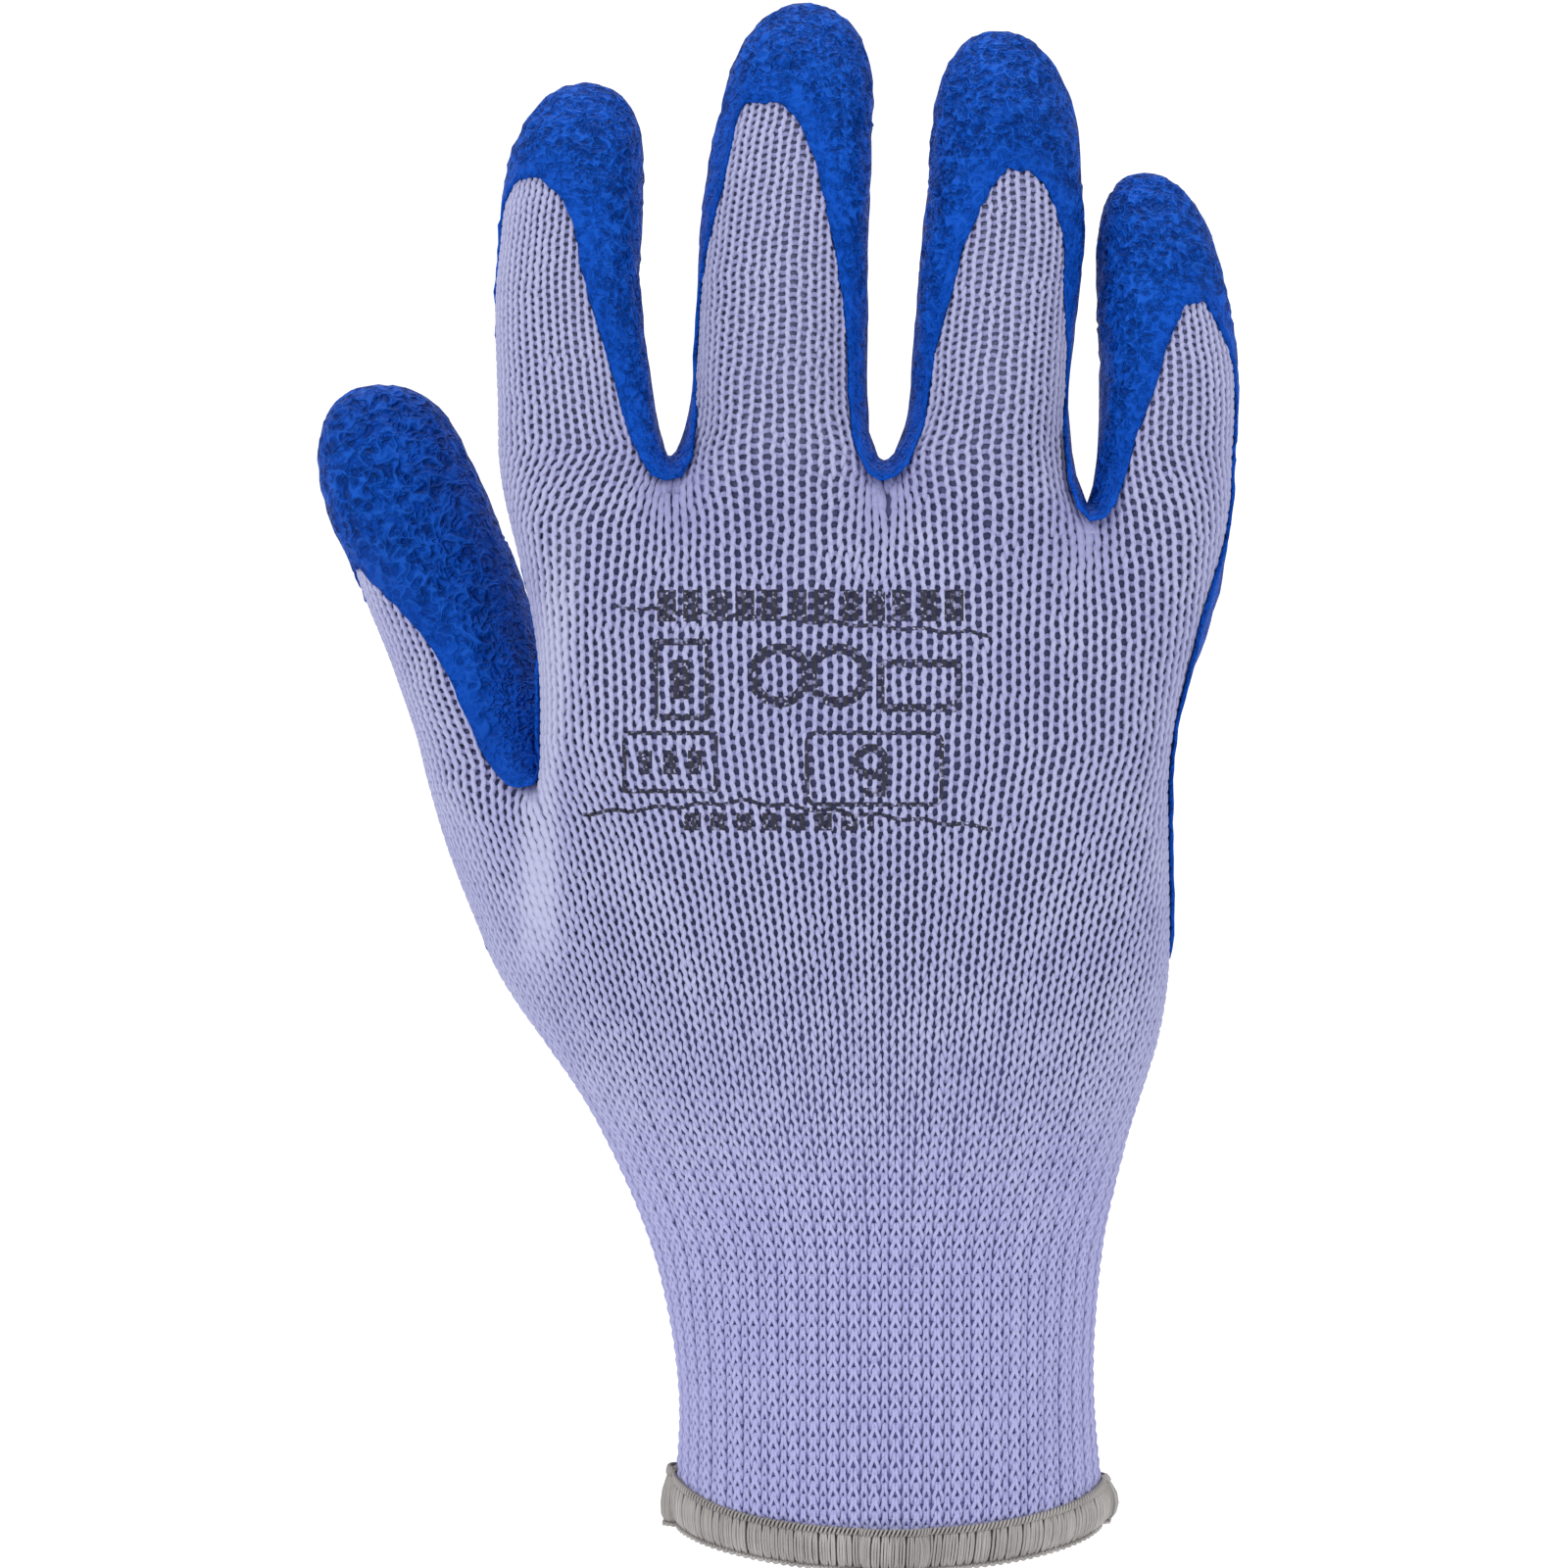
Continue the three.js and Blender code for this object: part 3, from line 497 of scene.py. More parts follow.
class Layout:
    """Where every wale crosses every course of the liner."""

    def __init__(self, skin):
        self.skin = skin
        self.edge = skin.edge()
        self.fingers = [Finger(skin, node) for node in FINGER_NODES]
        self.share_out(level_ring(skin, HAND_TOP), wale_pitch(HAND_TOP))
        self.trunk = self.trunk_columns()
        self.hand = self.hand_columns()
        self.digits = [self.finger_columns(number) for number in range(len(self.fingers))]
        self.thumb = self.thumb_columns()

    def share_out(self, ring, pitch):
        """Shares the wales of the hand out to the fingers, with a break under each web."""
        start = ring.in_front(0.0)
        webs = [
            0.5 * (left.first.points[:, 0].max() + right.first.points[:, 0].min())
            for left, right in zip(self.fingers, self.fingers[1:])
        ]
        self.breaks = [(ring.in_front(x) - start) / pitch for x in webs]
        first, last = (0.5 * self.fingers[end].first.length / pitch for end in (0, -1))
        limits = (self.breaks[0] - first, *self.breaks, self.breaks[-1] + last)
        for finger, low, high in zip(self.fingers, limits, limits[1:]):
            finger.take(low, high)

    def trunk_columns(self):
        """From the edge of the cuff to the crotch of the thumb, right round."""
        columns = Columns(-0.5 * WALES, 0.5 * WALES)
        heights = (0.0, *np.arange(LOWEST_RING, FORK_FROM, 3.0), FORK_FROM)
        for height in heights:
            ring = level_ring(self.skin, height) if height else self.edge
            columns.add(height, ring.at(across(ring, columns.wales, wale_pitch(height), 1.0)), self.skin)
        return columns

    def towards_webs(self, wales):
        """How far each wale of the hand has moved towards the nearest web at the top, in wales."""
        moved = np.zeros(len(wales))
        for number, finger in enumerate(self.fingers):
            share = (wales - finger.wale) / finger.reach
            mine = np.abs(share) < 1.0
            if number == 0:
                mine &= share > 0.0
            if number == len(self.breaks):
                mine &= share < 0.0
            bunched = np.sin(0.5 * math.pi * share[mine]) - share[mine]
            moved[mine] = WEB_BUNCHING * finger.reach * bunched
        return moved

    def hand_columns(self):
        """From the crotch of the thumb to the webs, across the back of the hand."""
        columns = Columns(-HAND_WALES, HAND_WALES, self.trunk)
        for height in (*np.arange(FORK_TO, HAND_TOP, 3.0), HAND_TOP):
            ring = level_ring(self.skin, height)
            turned = ease(height, TOWARDS_FINGERS, HAND_TOP)
            wales = columns.wales + self.towards_webs(columns.wales) * turned
            columns.add(height, ring.at(across(ring, wales, wale_pitch(height), 0.0)), self.skin)
        return columns

    def between_webs(self, number):
        """The wales of the hand that run up a finger, to the half wale."""
        limits = (-HAND_WALES, *(round(2.0 * wale) / 2.0 for wale in self.breaks), HAND_WALES)
        return limits[number], limits[number + 1]

    def finger_columns(self, number):
        """From the top of the hand to the fingertip. Wales past a web fan out of it."""
        finger = self.fingers[number]
        limits = self.between_webs(number)
        columns = Columns(
            math.floor(finger.low) - PAST_FINGER, math.ceil(finger.high) + PAST_FINGER, self.hand,
            lambda wales: np.rint(2.0 * (np.clip(wales, *limits) + HAND_WALES)).astype(int),
        )
        tip = finger.top - 2.5
        centre = box_centre(finger.node)
        for height in (*np.arange(FINGER_START, tip - 1.5, 3.0), tip):
            ring = level_ring(self.skin, height, near=centre)
            centre = ring.centre
            columns.add(height, finger.on(ring, columns.wales), self.skin)
        return columns

    def thumb_columns(self):
        """From the fork to the tip of the thumb, in rings that turn square to its axis."""
        columns = Columns(*THUMB_WALES, self.trunk)
        last = level_ring(self.skin, FORK_FROM)
        pitch = wale_pitch(FORK_FROM)
        outermost = (last.leftmost() - last.in_front(0.0)) / pitch
        if outermost > 0.0:
            outermost -= last.length / pitch
        place = box_centre("knit_thumb")
        low = level_ring(self.skin, FORK_TO, near=place).centre
        high = level_ring(self.skin, 168.0, near=place).centre
        axis = (high - low) / np.linalg.norm(high - low)
        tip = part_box("knit_thumb")[1].z - 3.0 * MM
        reach = (tip - low[2]) / axis[2] / MM
        first_length = None
        for along in (*np.arange(0.0, reach - 1.5, 2.5), reach):
            origin = low + axis * along * MM
            tilt = ease(along, 0.0, 24.0)
            direction = np.array([0.0, 0.0, 1.0]) * (1.0 - tilt) + axis * tilt
            rings = [ring for ring in self.skin.rings(origin, direction) if ring.length > 15.0 * MM]
            ring = min(rings, key=lambda one: np.linalg.norm(one.centre - origin))
            first_length = first_length or ring.length
            wide = 0.40 * first_length / (THUMB_SPLIT - outermost)
            pitch = wide + (3.05 * MM - wide) * ease(along, 0.0, 16.0)
            pitch *= (ring.length / first_length) ** 0.8
            points = ring.at(ring.leftmost() + (columns.wales - outermost) * pitch)
            columns.add(FORK_TO + along, points, self.skin)
        return columns


def course_levels(start, end, spacing):
    """Levels of the courses from start to end, each as far on as spacing says at its own level."""
    levels = [start]
    while levels[-1] + float(spacing(levels[-1])) <= end:
        levels.append(levels[-1] + float(spacing(levels[-1])))
    return np.array(levels)


class Panel:
    """A stretch of the liner that is knitted as one grid of wales and courses."""

    def __init__(self, name, columns, levels, lowest=None):
        self.name = name
        self.first = columns.wales[0]
        self.levels = levels
        grid = np.repeat(levels[:, None], len(columns.wales), axis=1) if lowest is None else lowest
        self.points = columns.at(grid)
        over = np.gradient(self.points, axis=1)
        up = np.gradient(self.points, axis=0)
        self.normals = unit(np.cross(over, up))

    def sample(self, wales, courses):
        """Points and normals of the grid between its crossings."""
        across_grid = np.clip((wales - self.first) * 2.0, 0.0, self.points.shape[1] - 1.001)
        up_grid = np.clip(courses, 0.0, self.points.shape[0] - 1.001)
        i = across_grid.astype(int)
        j = up_grid.astype(int)
        s = (across_grid - i)[..., None]
        t = (up_grid - j)[..., None]
        found = []
        for grid in (self.points, self.normals):
            low = grid[j, i] * (1.0 - s) + grid[j, i + 1] * s
            high = grid[j + 1, i] * (1.0 - s) + grid[j + 1, i + 1] * s
            found.append(low * (1.0 - t) + high * t)
        return found[0], unit(found[1])


# Yarn and thread


class Threads:
    """Lengths of yarn gathered into one mesh, with how far into the fabric each point lies, which the
    finishes paint as shade.
    """

    SIDES = 4

    def __init__(self):
        self.points = []
        self.depths = []
        self.faces = []
        self.used = 0

    def triangles(self):
        return 2 * self.used

    def add_tube(self, grid, depth, closed=True):
        """A tube of rings of points. It closes on itself, or has a cap at each end."""
        number = self.used + np.arange(grid.shape[0] * grid.shape[1]).reshape(grid.shape[:2])
        here, ahead = (number, np.roll(number, -1, axis=0)) if closed else (number[:-1], number[1:])
        quads = np.stack([here, ahead, np.roll(ahead, -1, axis=1), np.roll(here, -1, axis=1)], -1)
        self.faces.extend(quads.reshape(-1, 4).tolist())
        if not closed:
            self.faces.extend([number[0].tolist(), number[-1][::-1].tolist()])
        self.points.append(grid.reshape(-1, 3))
        self.depths.append(np.repeat(np.broadcast_to(depth, (len(grid),)), grid.shape[1]))
        self.used += number.size

    def add(self, path, facing, radius, depth, closed=False):
        """One length along path, on a surface that faces the given way."""
        if closed:
            along = np.roll(path, -1, axis=0) - np.roll(path, 1, axis=0)
        else:
            along = np.gradient(path, axis=0)
        along = unit(along)
        side = unit(np.cross(along, facing))
        up = np.cross(side, along)
        turn = 2.0 * math.pi * (np.arange(self.SIDES) + 0.5) / self.SIDES
        ring = np.cos(turn)[:, None] * side[:, None] + np.sin(turn)[:, None] * up[:, None]
        reach = np.broadcast_to(np.asarray(radius, float), (len(path),))[:, None, None]
        self.add_tube(path[:, None] + reach * ring, depth, closed)

    def mesh(self, name):
        mesh = bpy.data.meshes.new(name)
        mesh.from_pydata(np.concatenate(self.points).tolist(), [], self.faces)
        hold(mesh, "depth", np.concatenate(self.depths))
        return mesh


class Knitter:
    """Knits panels into pieces that each stay small enough to keep whole."""
    # Knits panels into pieces, starting a new piece of a section once the last passes PIECE_TRIANGLES.

    PIECE_TRIANGLES = 180_000
    # Panels whose stitches reach further under the latex, because its edge is drawn back there.
    WIDE_UNDER_COAT = ("trunk", "hand", "little")

    def __init__(self, settings, coat_tree):
        self.settings = settings
        self.coat_tree = coat_tree
        self.pieces = {}
        self.random = np.random.default_rng(YARN_SEED)

    def threads_for(self, section):
        held = self.pieces.setdefault(section, [Threads()])
        if held[-1].triangles() > self.PIECE_TRIANGLES:
            held.append(Threads())
        return held[-1]

    def covered(self, points, normals):
        """Which points have the latex over them."""
        found = np.zeros(len(points), bool)
        for number, (point, normal) in enumerate(zip(points, normals)):
            start = Vector(point - normal * 0.4 * MM)
            found[number] = self.coat_tree.ray_cast(start, Vector(normal), 1.9 * MM)[0] is not None
        return found

    def bare_stitches(self, panel, limits):
        """Courses by stitches: those that show, and one more that runs under the latex."""
        courses = panel.points.shape[0]
        last = math.floor(panel.first + (panel.points.shape[1] - 1) / 2.0)
        starts = np.arange(math.ceil(panel.first), last)
        across_grid, up_grid = np.meshgrid(starts + 0.5, np.arange(courses).astype(float))
        points, normals = panel.sample(across_grid.ravel(), up_grid.ravel())
        bare = ~self.covered(points, normals).reshape(courses, len(starts))
        wide = bare.copy()
        wide[:, :-1] |= bare[:, 1:]
        for _ in range(3 if panel.name in self.WIDE_UNDER_COAT else 1):
            wide[:, 1:] |= wide[:, :-1].copy()
        tall = wide.copy()
        tall[1:] |= wide[:-1]
        tall[:-1] |= wide[1:]
        for course in range(courses):
            low, high = limits(panel.levels[course])
            tall[course] &= (starts + 0.6 > low) & (starts + 0.4 < high)
        tall[0] = tall[-1] = False
        return starts, tall

    def knit(self, panel, section, limits):
        """Every course of a panel, as yarn that loops once a wale."""
        starts, kept = self.bare_stitches(panel, limits)
        slip = self.random.normal(0.0, self.settings.unevenness, kept.shape + (2,))
        slip[..., 0] += self.wander(kept.shape)
        for course in range(1, kept.shape[0] - 1):
            row = np.concatenate([[False], kept[course], [False]])
            changes = np.nonzero(row[1:] != row[:-1])[0]
            for begin, end in zip(changes[::2], changes[1::2]):
                if end - begin > 1:
                    threads = self.threads_for(section(panel.levels[course]))
                    threads.add(*self.course_run(panel, course, starts[begin:end], slip[course, begin:end]))

    def wander(self, shape):
        """How far each wale strays sideways on its way up, in wales."""
        knots = np.arange(0, shape[0] + 8, 8)
        strays = self.random.normal(0.0, self.settings.wander, (len(knots), shape[1]))
        courses = np.arange(shape[0])
        return np.stack([np.interp(courses, knots, stray) for stray in strays.T], -1)

    def crowding(self, points):
        """How much thicker the yarn looks where it is pressed together: under the webs and in the fold."""
        x, y, z = points.T
        more = 1.0
        for across_mm, up_mm, lower, _ in WEBS:
            over = (x - across_mm) ** 2
            above = z - up_mm + lower
            more = more + 0.36 * np.exp(-over / 25.0 - ((above + 7.0) / 6.0) ** 2)
            more = more + 0.60 * np.exp(-over / 2.4 - ((above + 4.5) / 2.5) ** 2)
        beside = x - FOLD_ACROSS - FOLD_LEAN * np.maximum(z - FOLD_HEIGHT, 0.0)
        along = ease(z, 88.0, 104.0) * (1.0 - ease(z, 140.0, 165.0)) * (y < 8.0)
        return more + (0.8 - 0.4 * ease(z, 112.0, 121.0)) * np.exp(-(beside / 3.2) ** 2) * along

    def course_run(self, panel, course, stitches, slip):
        """One run of stitches: its path, the way the fabric faces, and the yarn's radius and depth."""
        settings = self.settings
        level = panel.levels[course]
        count = len(stitches)
        t = np.arange(count * settings.steps + 1) / settings.steps
        centre = np.arange(count) + 0.5
        shift_over, shift_up = (np.interp(t, centre, part) for part in slip.T)
        rib = knitting(level, "rib") * MM
        thickness = knitting(level, "yarn") * MM
        ribbed = knitting(level, "rib") / KNITTING["rib"][0]
        wales = stitches[0] + t + knitting(level, "lean") * np.sin(4.0 * math.pi * t) + shift_over
        wales = wales + 0.03 * ribbed * np.sin(math.pi * (wales - 0.5))
        courses = course + settings.overlap * np.cos(2.0 * math.pi * t) + shift_up
        points, normals = panel.sample(wales, courses)
        along_leg = 1.0 - np.abs(2.0 * np.mod(t, 1.0) - 1.0)
        weave = 2.0 * np.sin(math.pi * along_leg ** (1.0 - 0.28 * ribbed)) ** 2 - 1.0
        sunk = rib * np.sin(0.5 * math.pi * (stitches[0] + t - 0.5)) ** 2
        lift = settings.loft * (1.0 + 0.5 * ribbed) * weave - sunk
        lift = lift - 0.5 * thickness - settings.loft + settings.proud
        radius = 0.5 * thickness * (1.0 + np.clip(1.4 * shift_up, -0.12, 0.12))
        radius = radius * self.crowding(points / MM)
        # How far each point dives into the fabric, which the yarn's finish paints as shade.
        depth = np.clip(0.5 - 0.5 * weave + 1.2 * sunk / MM, 0.0, 1.0)
        return points + normals * lift[:, None], normals, radius, depth


def hem_following(layout, levels):
    """Levels of the lower courses in the trunk, which dip with the edge of the cuff."""
    edge = layout.trunk.rings[0][None, :, 2] / MM
    near = np.clip(1.0 - levels / 26.0, 0.0, 1.0)[:, None] ** 0.8
    height = levels[:, None] + (edge - edge.mean()) * near
    below = (height - edge) / (LOWEST_RING - edge) * LOWEST_RING
    return np.where(height < LOWEST_RING, below, height).clip(0.0, None)


def knit_liner(layout, settings, coat_tree):
    """Every panel of the liner. At the fork and at the webs each takes only its own wales."""
    knitter = Knitter(settings, coat_tree)

    def spacing(level):
        return knitting(level, "course")

    def knit(name, columns, levels, limits, section=None, lowest=None):
        knitter.knit(Panel(name, columns, levels, lowest), section or (lambda level: name), limits)

    def of_trunk(level):
        return -0.5 * WALES, 0.5 * WALES

    def of_hand(level):
        return (THUMB_SPLIT if level < FORK_TO + 1.0 else -HAND_WALES), HAND_WALES

    def of_thumb(level):
        return THUMB_WALES[0], (THUMB_SPLIT if level < FORK_TO + 1.0 else THUMB_WALES[1])

    edge = layout.trunk.rings[0][:, 2].mean() / MM
    trunk = course_levels(edge + 1.4, FORK_FROM, spacing)
    knit("trunk", layout.trunk, trunk, of_trunk,
         lambda level: "cuff" if level < CUFF_TOP else "heel", hem_following(layout, trunk))
    hand = course_levels(trunk[-2], HAND_TOP, spacing)
    knit("hand", layout.hand, hand, of_hand)
    thumb = course_levels(
        trunk[-2], layout.thumb.levels[-1], lambda level: 1.82 - 0.24 * ease(level, FORK_TO, 140.0),
    )
    knit("thumb", layout.thumb, thumb, of_thumb)
    for number, (finger, columns) in enumerate(zip(layout.fingers, layout.digits)):
        low, high = layout.between_webs(number)

        def of_finger(level):
            fanned = PAST_FINGER * ease(level, HAND_TOP + 1.0, FINGER_START + 1.0)
            return low - fanned, high + fanned

        levels = course_levels(hand[-2], columns.levels[-1], spacing)
        knit(finger.node.replace("knit_", ""), columns, levels, of_finger)
    return knitter.pieces


# Shaders


def math_node(operation, swapped=False):
    """A method of Value that does a sum on it and on what it is given."""
    def method(self, *others):
        values = (*others, self) if swapped else (self, *others)
        return self.finish.value("ShaderNodeMath", {"operation": operation}, dict(enumerate(values)))
    return method


class Value:
    """A number in a material, so that sums on it are written as sums."""

    def __init__(self, finish, socket):
        self.finish = finish
        self.socket = socket

    __add__, __radd__ = math_node("ADD"), math_node("ADD", swapped=True)
    __sub__, __rsub__ = math_node("SUBTRACT"), math_node("SUBTRACT", swapped=True)
    __mul__, __rmul__ = math_node("MULTIPLY"), math_node("MULTIPLY", swapped=True)
    __truediv__, __rtruediv__ = math_node("DIVIDE"), math_node("DIVIDE", swapped=True)
    __pow__ = math_node("POWER")
    __gt__, __lt__ = math_node("GREATER_THAN"), math_node("LESS_THAN")
    __abs__ = math_node("ABSOLUTE")
    sine = math_node("SINE")
    most, least = math_node("MAXIMUM"), math_node("MINIMUM")
    turn_to = math_node("ARCTAN2")
    back_and_forth = math_node("PINGPONG")

    def between(self, low, high):
        """0 below low, 1 above high, and smooth from one to the other."""
        return self.finish.value(
            "ShaderNodeMapRange", {"interpolation_type": "SMOOTHSTEP"},
            {"Value": self, "From Min": low, "From Max": high, "To Min": 0.0, "To Max": 1.0}, "Result",
        )


class Finish:
    """One material and the node tree that it is written in."""

    def __init__(self, name, settings):
        self.material = bpy.data.materials.new(name)
        self.material.use_nodes = True
        self.tree = self.material.node_tree
        self.tree.nodes.clear()
        self.shader = self.node("ShaderNodeBsdfPrincipled", {}, settings)
        self.node("ShaderNodeOutputMaterial", {}, {"Surface": self.shader.outputs["BSDF"]})
        self.place = self.node("ShaderNodeTexCoord", {}, {}).outputs["Object"]
        parts = self.node("ShaderNodeSeparateXYZ", {}, {"Vector": self.place})
        self.x, self.y, self.z = (Value(self, parts.outputs[axis]) * 1000.0 for axis in "XYZ")

    def node(self, kind, settings, sockets):
        """A node of a kind: its settings first, then the values or links of its sockets."""
        made = self.tree.nodes.new(kind)
        for name, value in settings.items():
            setattr(made, name, value)
        for name, value in sockets.items():
            if isinstance(name, int):
                socket = made.inputs[name]
            else:
                socket = next((one for one in made.inputs if one.identifier == name), None)
                socket = socket or made.inputs[name]
            self.set(socket, value)
        return made

    def set(self, socket, value):
        """Links a socket, or sets it. A colour may be given without its alpha."""
        if isinstance(value, Value):
            value = value.socket
        if isinstance(value, bpy.types.NodeSocket):
            self.tree.links.new(value, socket)
        elif socket.type == "RGBA":
            socket.default_value = (*value[:3], 1.0)
        else:
            socket.default_value = value

    def value(self, kind, settings, sockets, output=0):
        return Value(self, self.node(kind, settings, sockets).outputs[output])

    def noise(self, scale, detail=2.0, roughness=0.5, warp=0.0):
        return self.value("ShaderNodeTexNoise", {}, {
            "Vector": self.place, "Scale": scale, "Detail": detail, "Roughness": roughness,
            "Distortion": warp,
        })

    def attribute(self, name):
        return self.value("ShaderNodeAttribute", {"attribute_name": name}, {}, "Fac")

    def mix(self, share, first, second):
        """One colour turning into another."""
        return self.node(
            "ShaderNodeMix", {"data_type": "RGBA"},
            {"Factor_Float": share, "A_Color": first, "B_Color": second},
        ).outputs[2]

    def colour(self, colour):
        self.set(self.shader.inputs["Base Color"], colour)

    def roughness(self, value):
        self.set(self.shader.inputs["Roughness"], value)

    def bump(self, height, distance, strength=1.0):
        made = self.node("ShaderNodeBump", {}, {"Height": height, "Distance": distance, "Strength": strength})
        self.set(self.shader.inputs["Normal"], made.outputs["Normal"])


def tone(red, green, blue):
    """A screen colour, 0 to 255, as the colour of a material."""
    def linear(part):
        part /= 255.0
        return part / 12.92 if part <= 0.04045 else ((part + 0.055) / 1.055) ** 2.4
    return linear(red), linear(green), linear(blue)


def past_middle(value, limits):
    """How far a value is from the middle of its limits, and half of what they span."""
    low, high = limits
    return abs(value - 0.5 * (low + high)), 0.5 * (high - low)


def in_box(finish, x_range, z_range):
    """1 where the surface lies in a box on the back of the hand, in millimetres."""
    over, wide = past_middle(finish.x, x_range)
    up, tall = past_middle(finish.z, z_range)
    return (over < wide) * (up < tall)


def box_outline(finish, x_range, z_range, corner, width):
    """1 along the outline of a box with round corners."""
    over, wide = past_middle(finish.x, x_range)
    up, tall = past_middle(finish.z, z_range)
    over, up = over - (wide - corner), up - (tall - corner)
    beyond_x, beyond_z = over.most(0.0), up.most(0.0)
    away = (beyond_x * beyond_x + beyond_z * beyond_z) ** 0.5 + over.most(up).least(0.0) - corner
    return abs(away) < 0.5 * width


def ring_line(finish, x, z, radius, width):
    """1 along a circle."""
    over = finish.x - x
    up = finish.z - z
    return abs((over * over + up * up) ** 0.5 - radius) < 0.5 * width


# The stamp on the back of the hand, in millimetres. The outlines of boxes, with corner and width;
# circles, the first of which is the bowl of the 9; and filled blocks, of which two are its stem.
STAMP_BOXES = (
    ((-12.9, 8.2), (120.7, 131.9), 1.6, 0.75), ((-41.6, -27.2), (122.8, 131.9), 0.3, 0.75),
    ((-36.8, -28.4), (134.4, 146.2), 0.6, 1.1), ((-1.4, 10.8), (135.8, 142.8), 0.4, 1.3),
)
STAMP_CIRCLES = ((-2.9, 127.4, 2.1, 1.5), (-17.2, 140.9, 4.2, 1.7), (-8.0, 140.9, 4.2, 1.7))
STAMP_BLOCKS = (
    ((-1.55, -0.05), (122.9, 127.4)), ((-4.6, -0.6), (121.9, 123.3)), ((-34.4, -30.8), (137.2, 143.4)),
    ((-39.4, -37.2), (125.4, 129.2)), ((-35.5, -33.3), (125.4, 129.2)), ((-31.6, -29.4), (125.4, 129.2)),
)
# Rows of small blocks: how much of each step is bare, and where the row lies.
STAMP_ROWS = ((0.55, (-36.8, 12.2), (149.4, 154.4)), (0.7, (-33.2, -2.4), (116.6, 119.4)))
STAMP_STEP = 4.1


def size_stamp(finish):
    """The plain stamp on the back of the hand: two rules, a size in a box, and rows of blocks."""
    wave = (finish.x * 0.9).sine() * 0.25
    first = abs(finish.z - 147.6 + finish.x * 0.075 + wave - 0.9) < 0.33
    ink = first * (abs(finish.x + 13.6) < 29.3)
    rise = (finish.x + 22.8).least(0.0) * 0.078 - (finish.x + 22.8).most(0.0) * 0.108
    second = (abs(finish.z - 121.2 - rise + wave) < 0.33) * (abs(finish.x + 16.1) < 32.3)
    cell = (finish.x + 37.0).back_and_forth(0.5 * STAMP_STEP)
    marks = [second]
    marks += [box_outline(finish, *box) for box in STAMP_BOXES]
    marks += [ring_line(finish, *circle) for circle in STAMP_CIRCLES]
    marks += [in_box(finish, *block) for block in STAMP_BLOCKS]
    marks += [(cell > bare) * in_box(finish, *row) for bare, *row in STAMP_ROWS]
    for mark in marks:
        ink = ink.most(mark)
    return ink * (finish.y < 2.0)


def thumb_fold(finish):
    """1 in the band under the crotch of the thumb where the stitches are pressed shut."""
    middle = finish.x - FOLD_ACROSS - (finish.z - FOLD_HEIGHT).most(0.0) * FOLD_LEAN
    across_band = 1.0 - abs(middle).between(1.6, 4.2)
    along_band = finish.z.between(90.0, 104.0) * (1.0 - finish.z.between(150.0, 172.0))
    return across_band * along_band * (finish.y < 8.0)


def under_webs(finish):
    """1 just under each gap between the fingers, where the wales crowd: painted shade on the yarn there, and
    lighter painted shade in its holes.
    """
    near = []
    for across_mm, up_mm, *_ in WEBS:
        over = finish.x - across_mm
        up = (finish.z - (up_mm - 6.0)) * 0.8
        near.append(1.0 - ((over * over + up * up) ** 0.5).between(3.0, 9.0))
    return near[0].most(near[1]).most(near[2]) * (finish.y < 4.0)


def yarn_finish(settings):
    """Matt textured yarn: lilac, paler where it stands proud and darker where it dives, which is painted
    shade, with the size stamped on its back.
    """
    finish = Finish("liner_yarn", {
        "Roughness": 0.85, "Specular IOR Level": 0.15, "Sheen Weight": 0.25, "Sheen Roughness": 0.5,
        "Sheen Tint": (0.80, 0.80, 1.0),
    })
    depth = finish.attribute("depth")
    fleck = finish.noise(1500.0, 3.0, 0.65)
    cuff = 1.0 - finish.z.between(40.0, 95.0)
    fingers = finish.z.between(170.0, 195.0)
    uneven = finish.noise(70.0, 3.0).between(0.3, 0.7) * (0.7 - fingers * 0.5)
    worn = finish.noise(420.0, 2.0).between(0.26, 0.40) * finish.noise(1500.0, 1.0).between(0.30, 0.42)
    proud = 1.0 - depth.between(0.6, 1.0)
    colour = settings.light
    for share, towards in (
        (uneven, settings.body),
        (cuff * 0.6, settings.cuff),
        # Painted shade where the yarn dives into the fabric.
        (depth.between(0.3, 1.0) * (0.7 - cuff * 0.3), settings.shade_and_fleck),
        (fleck.between(0.48, 0.72) * 0.45, settings.shade_and_fleck),
        # Painted shade just under the webs, where the wales crowd.
        (under_webs(finish) * 0.45, settings.shade_and_fleck),
        (thumb_fold(finish) * 0.92, settings.fold),
        (size_stamp(finish) * worn * proud * 0.96, settings.ink),
    ):
        colour = finish.mix(share, colour, towards)
    finish.colour(colour)
    finish.bump(finish.noise(3600.0, 3.0, 0.65), 0.00012, 0.8)
    return finish.material


def backing_shade_finish(settings):
    """Painted shade: the inner yarn as it looks in shade through the holes of the net."""
    finish = Finish("liner_shade", {"Roughness": 0.9, "Specular IOR Level": 0.1})
    cuff = 1.0 - finish.z.between(50.0, 105.0)
    fleck = finish.noise(1100.0, 2.0)
    # Painted shade, lighter in the cuff, in the fingers, under the webs and in the fold.
    colour = settings.shade_hand
    for share, towards in (
        (cuff, settings.shade_cuff),
        (finish.z.between(166.0, 190.0), settings.shade_finger),
        (fleck.between(0.4, 0.7) * 0.4, settings.shade_and_fleck),
        (under_webs(finish) * 0.7, settings.shade_and_fleck),
        (thumb_fold(finish), settings.fold),
    ):
        colour = finish.mix(share, colour, towards)
    finish.colour(colour)
    finish.bump(fleck, 0.0002, 0.6)
    return finish.material


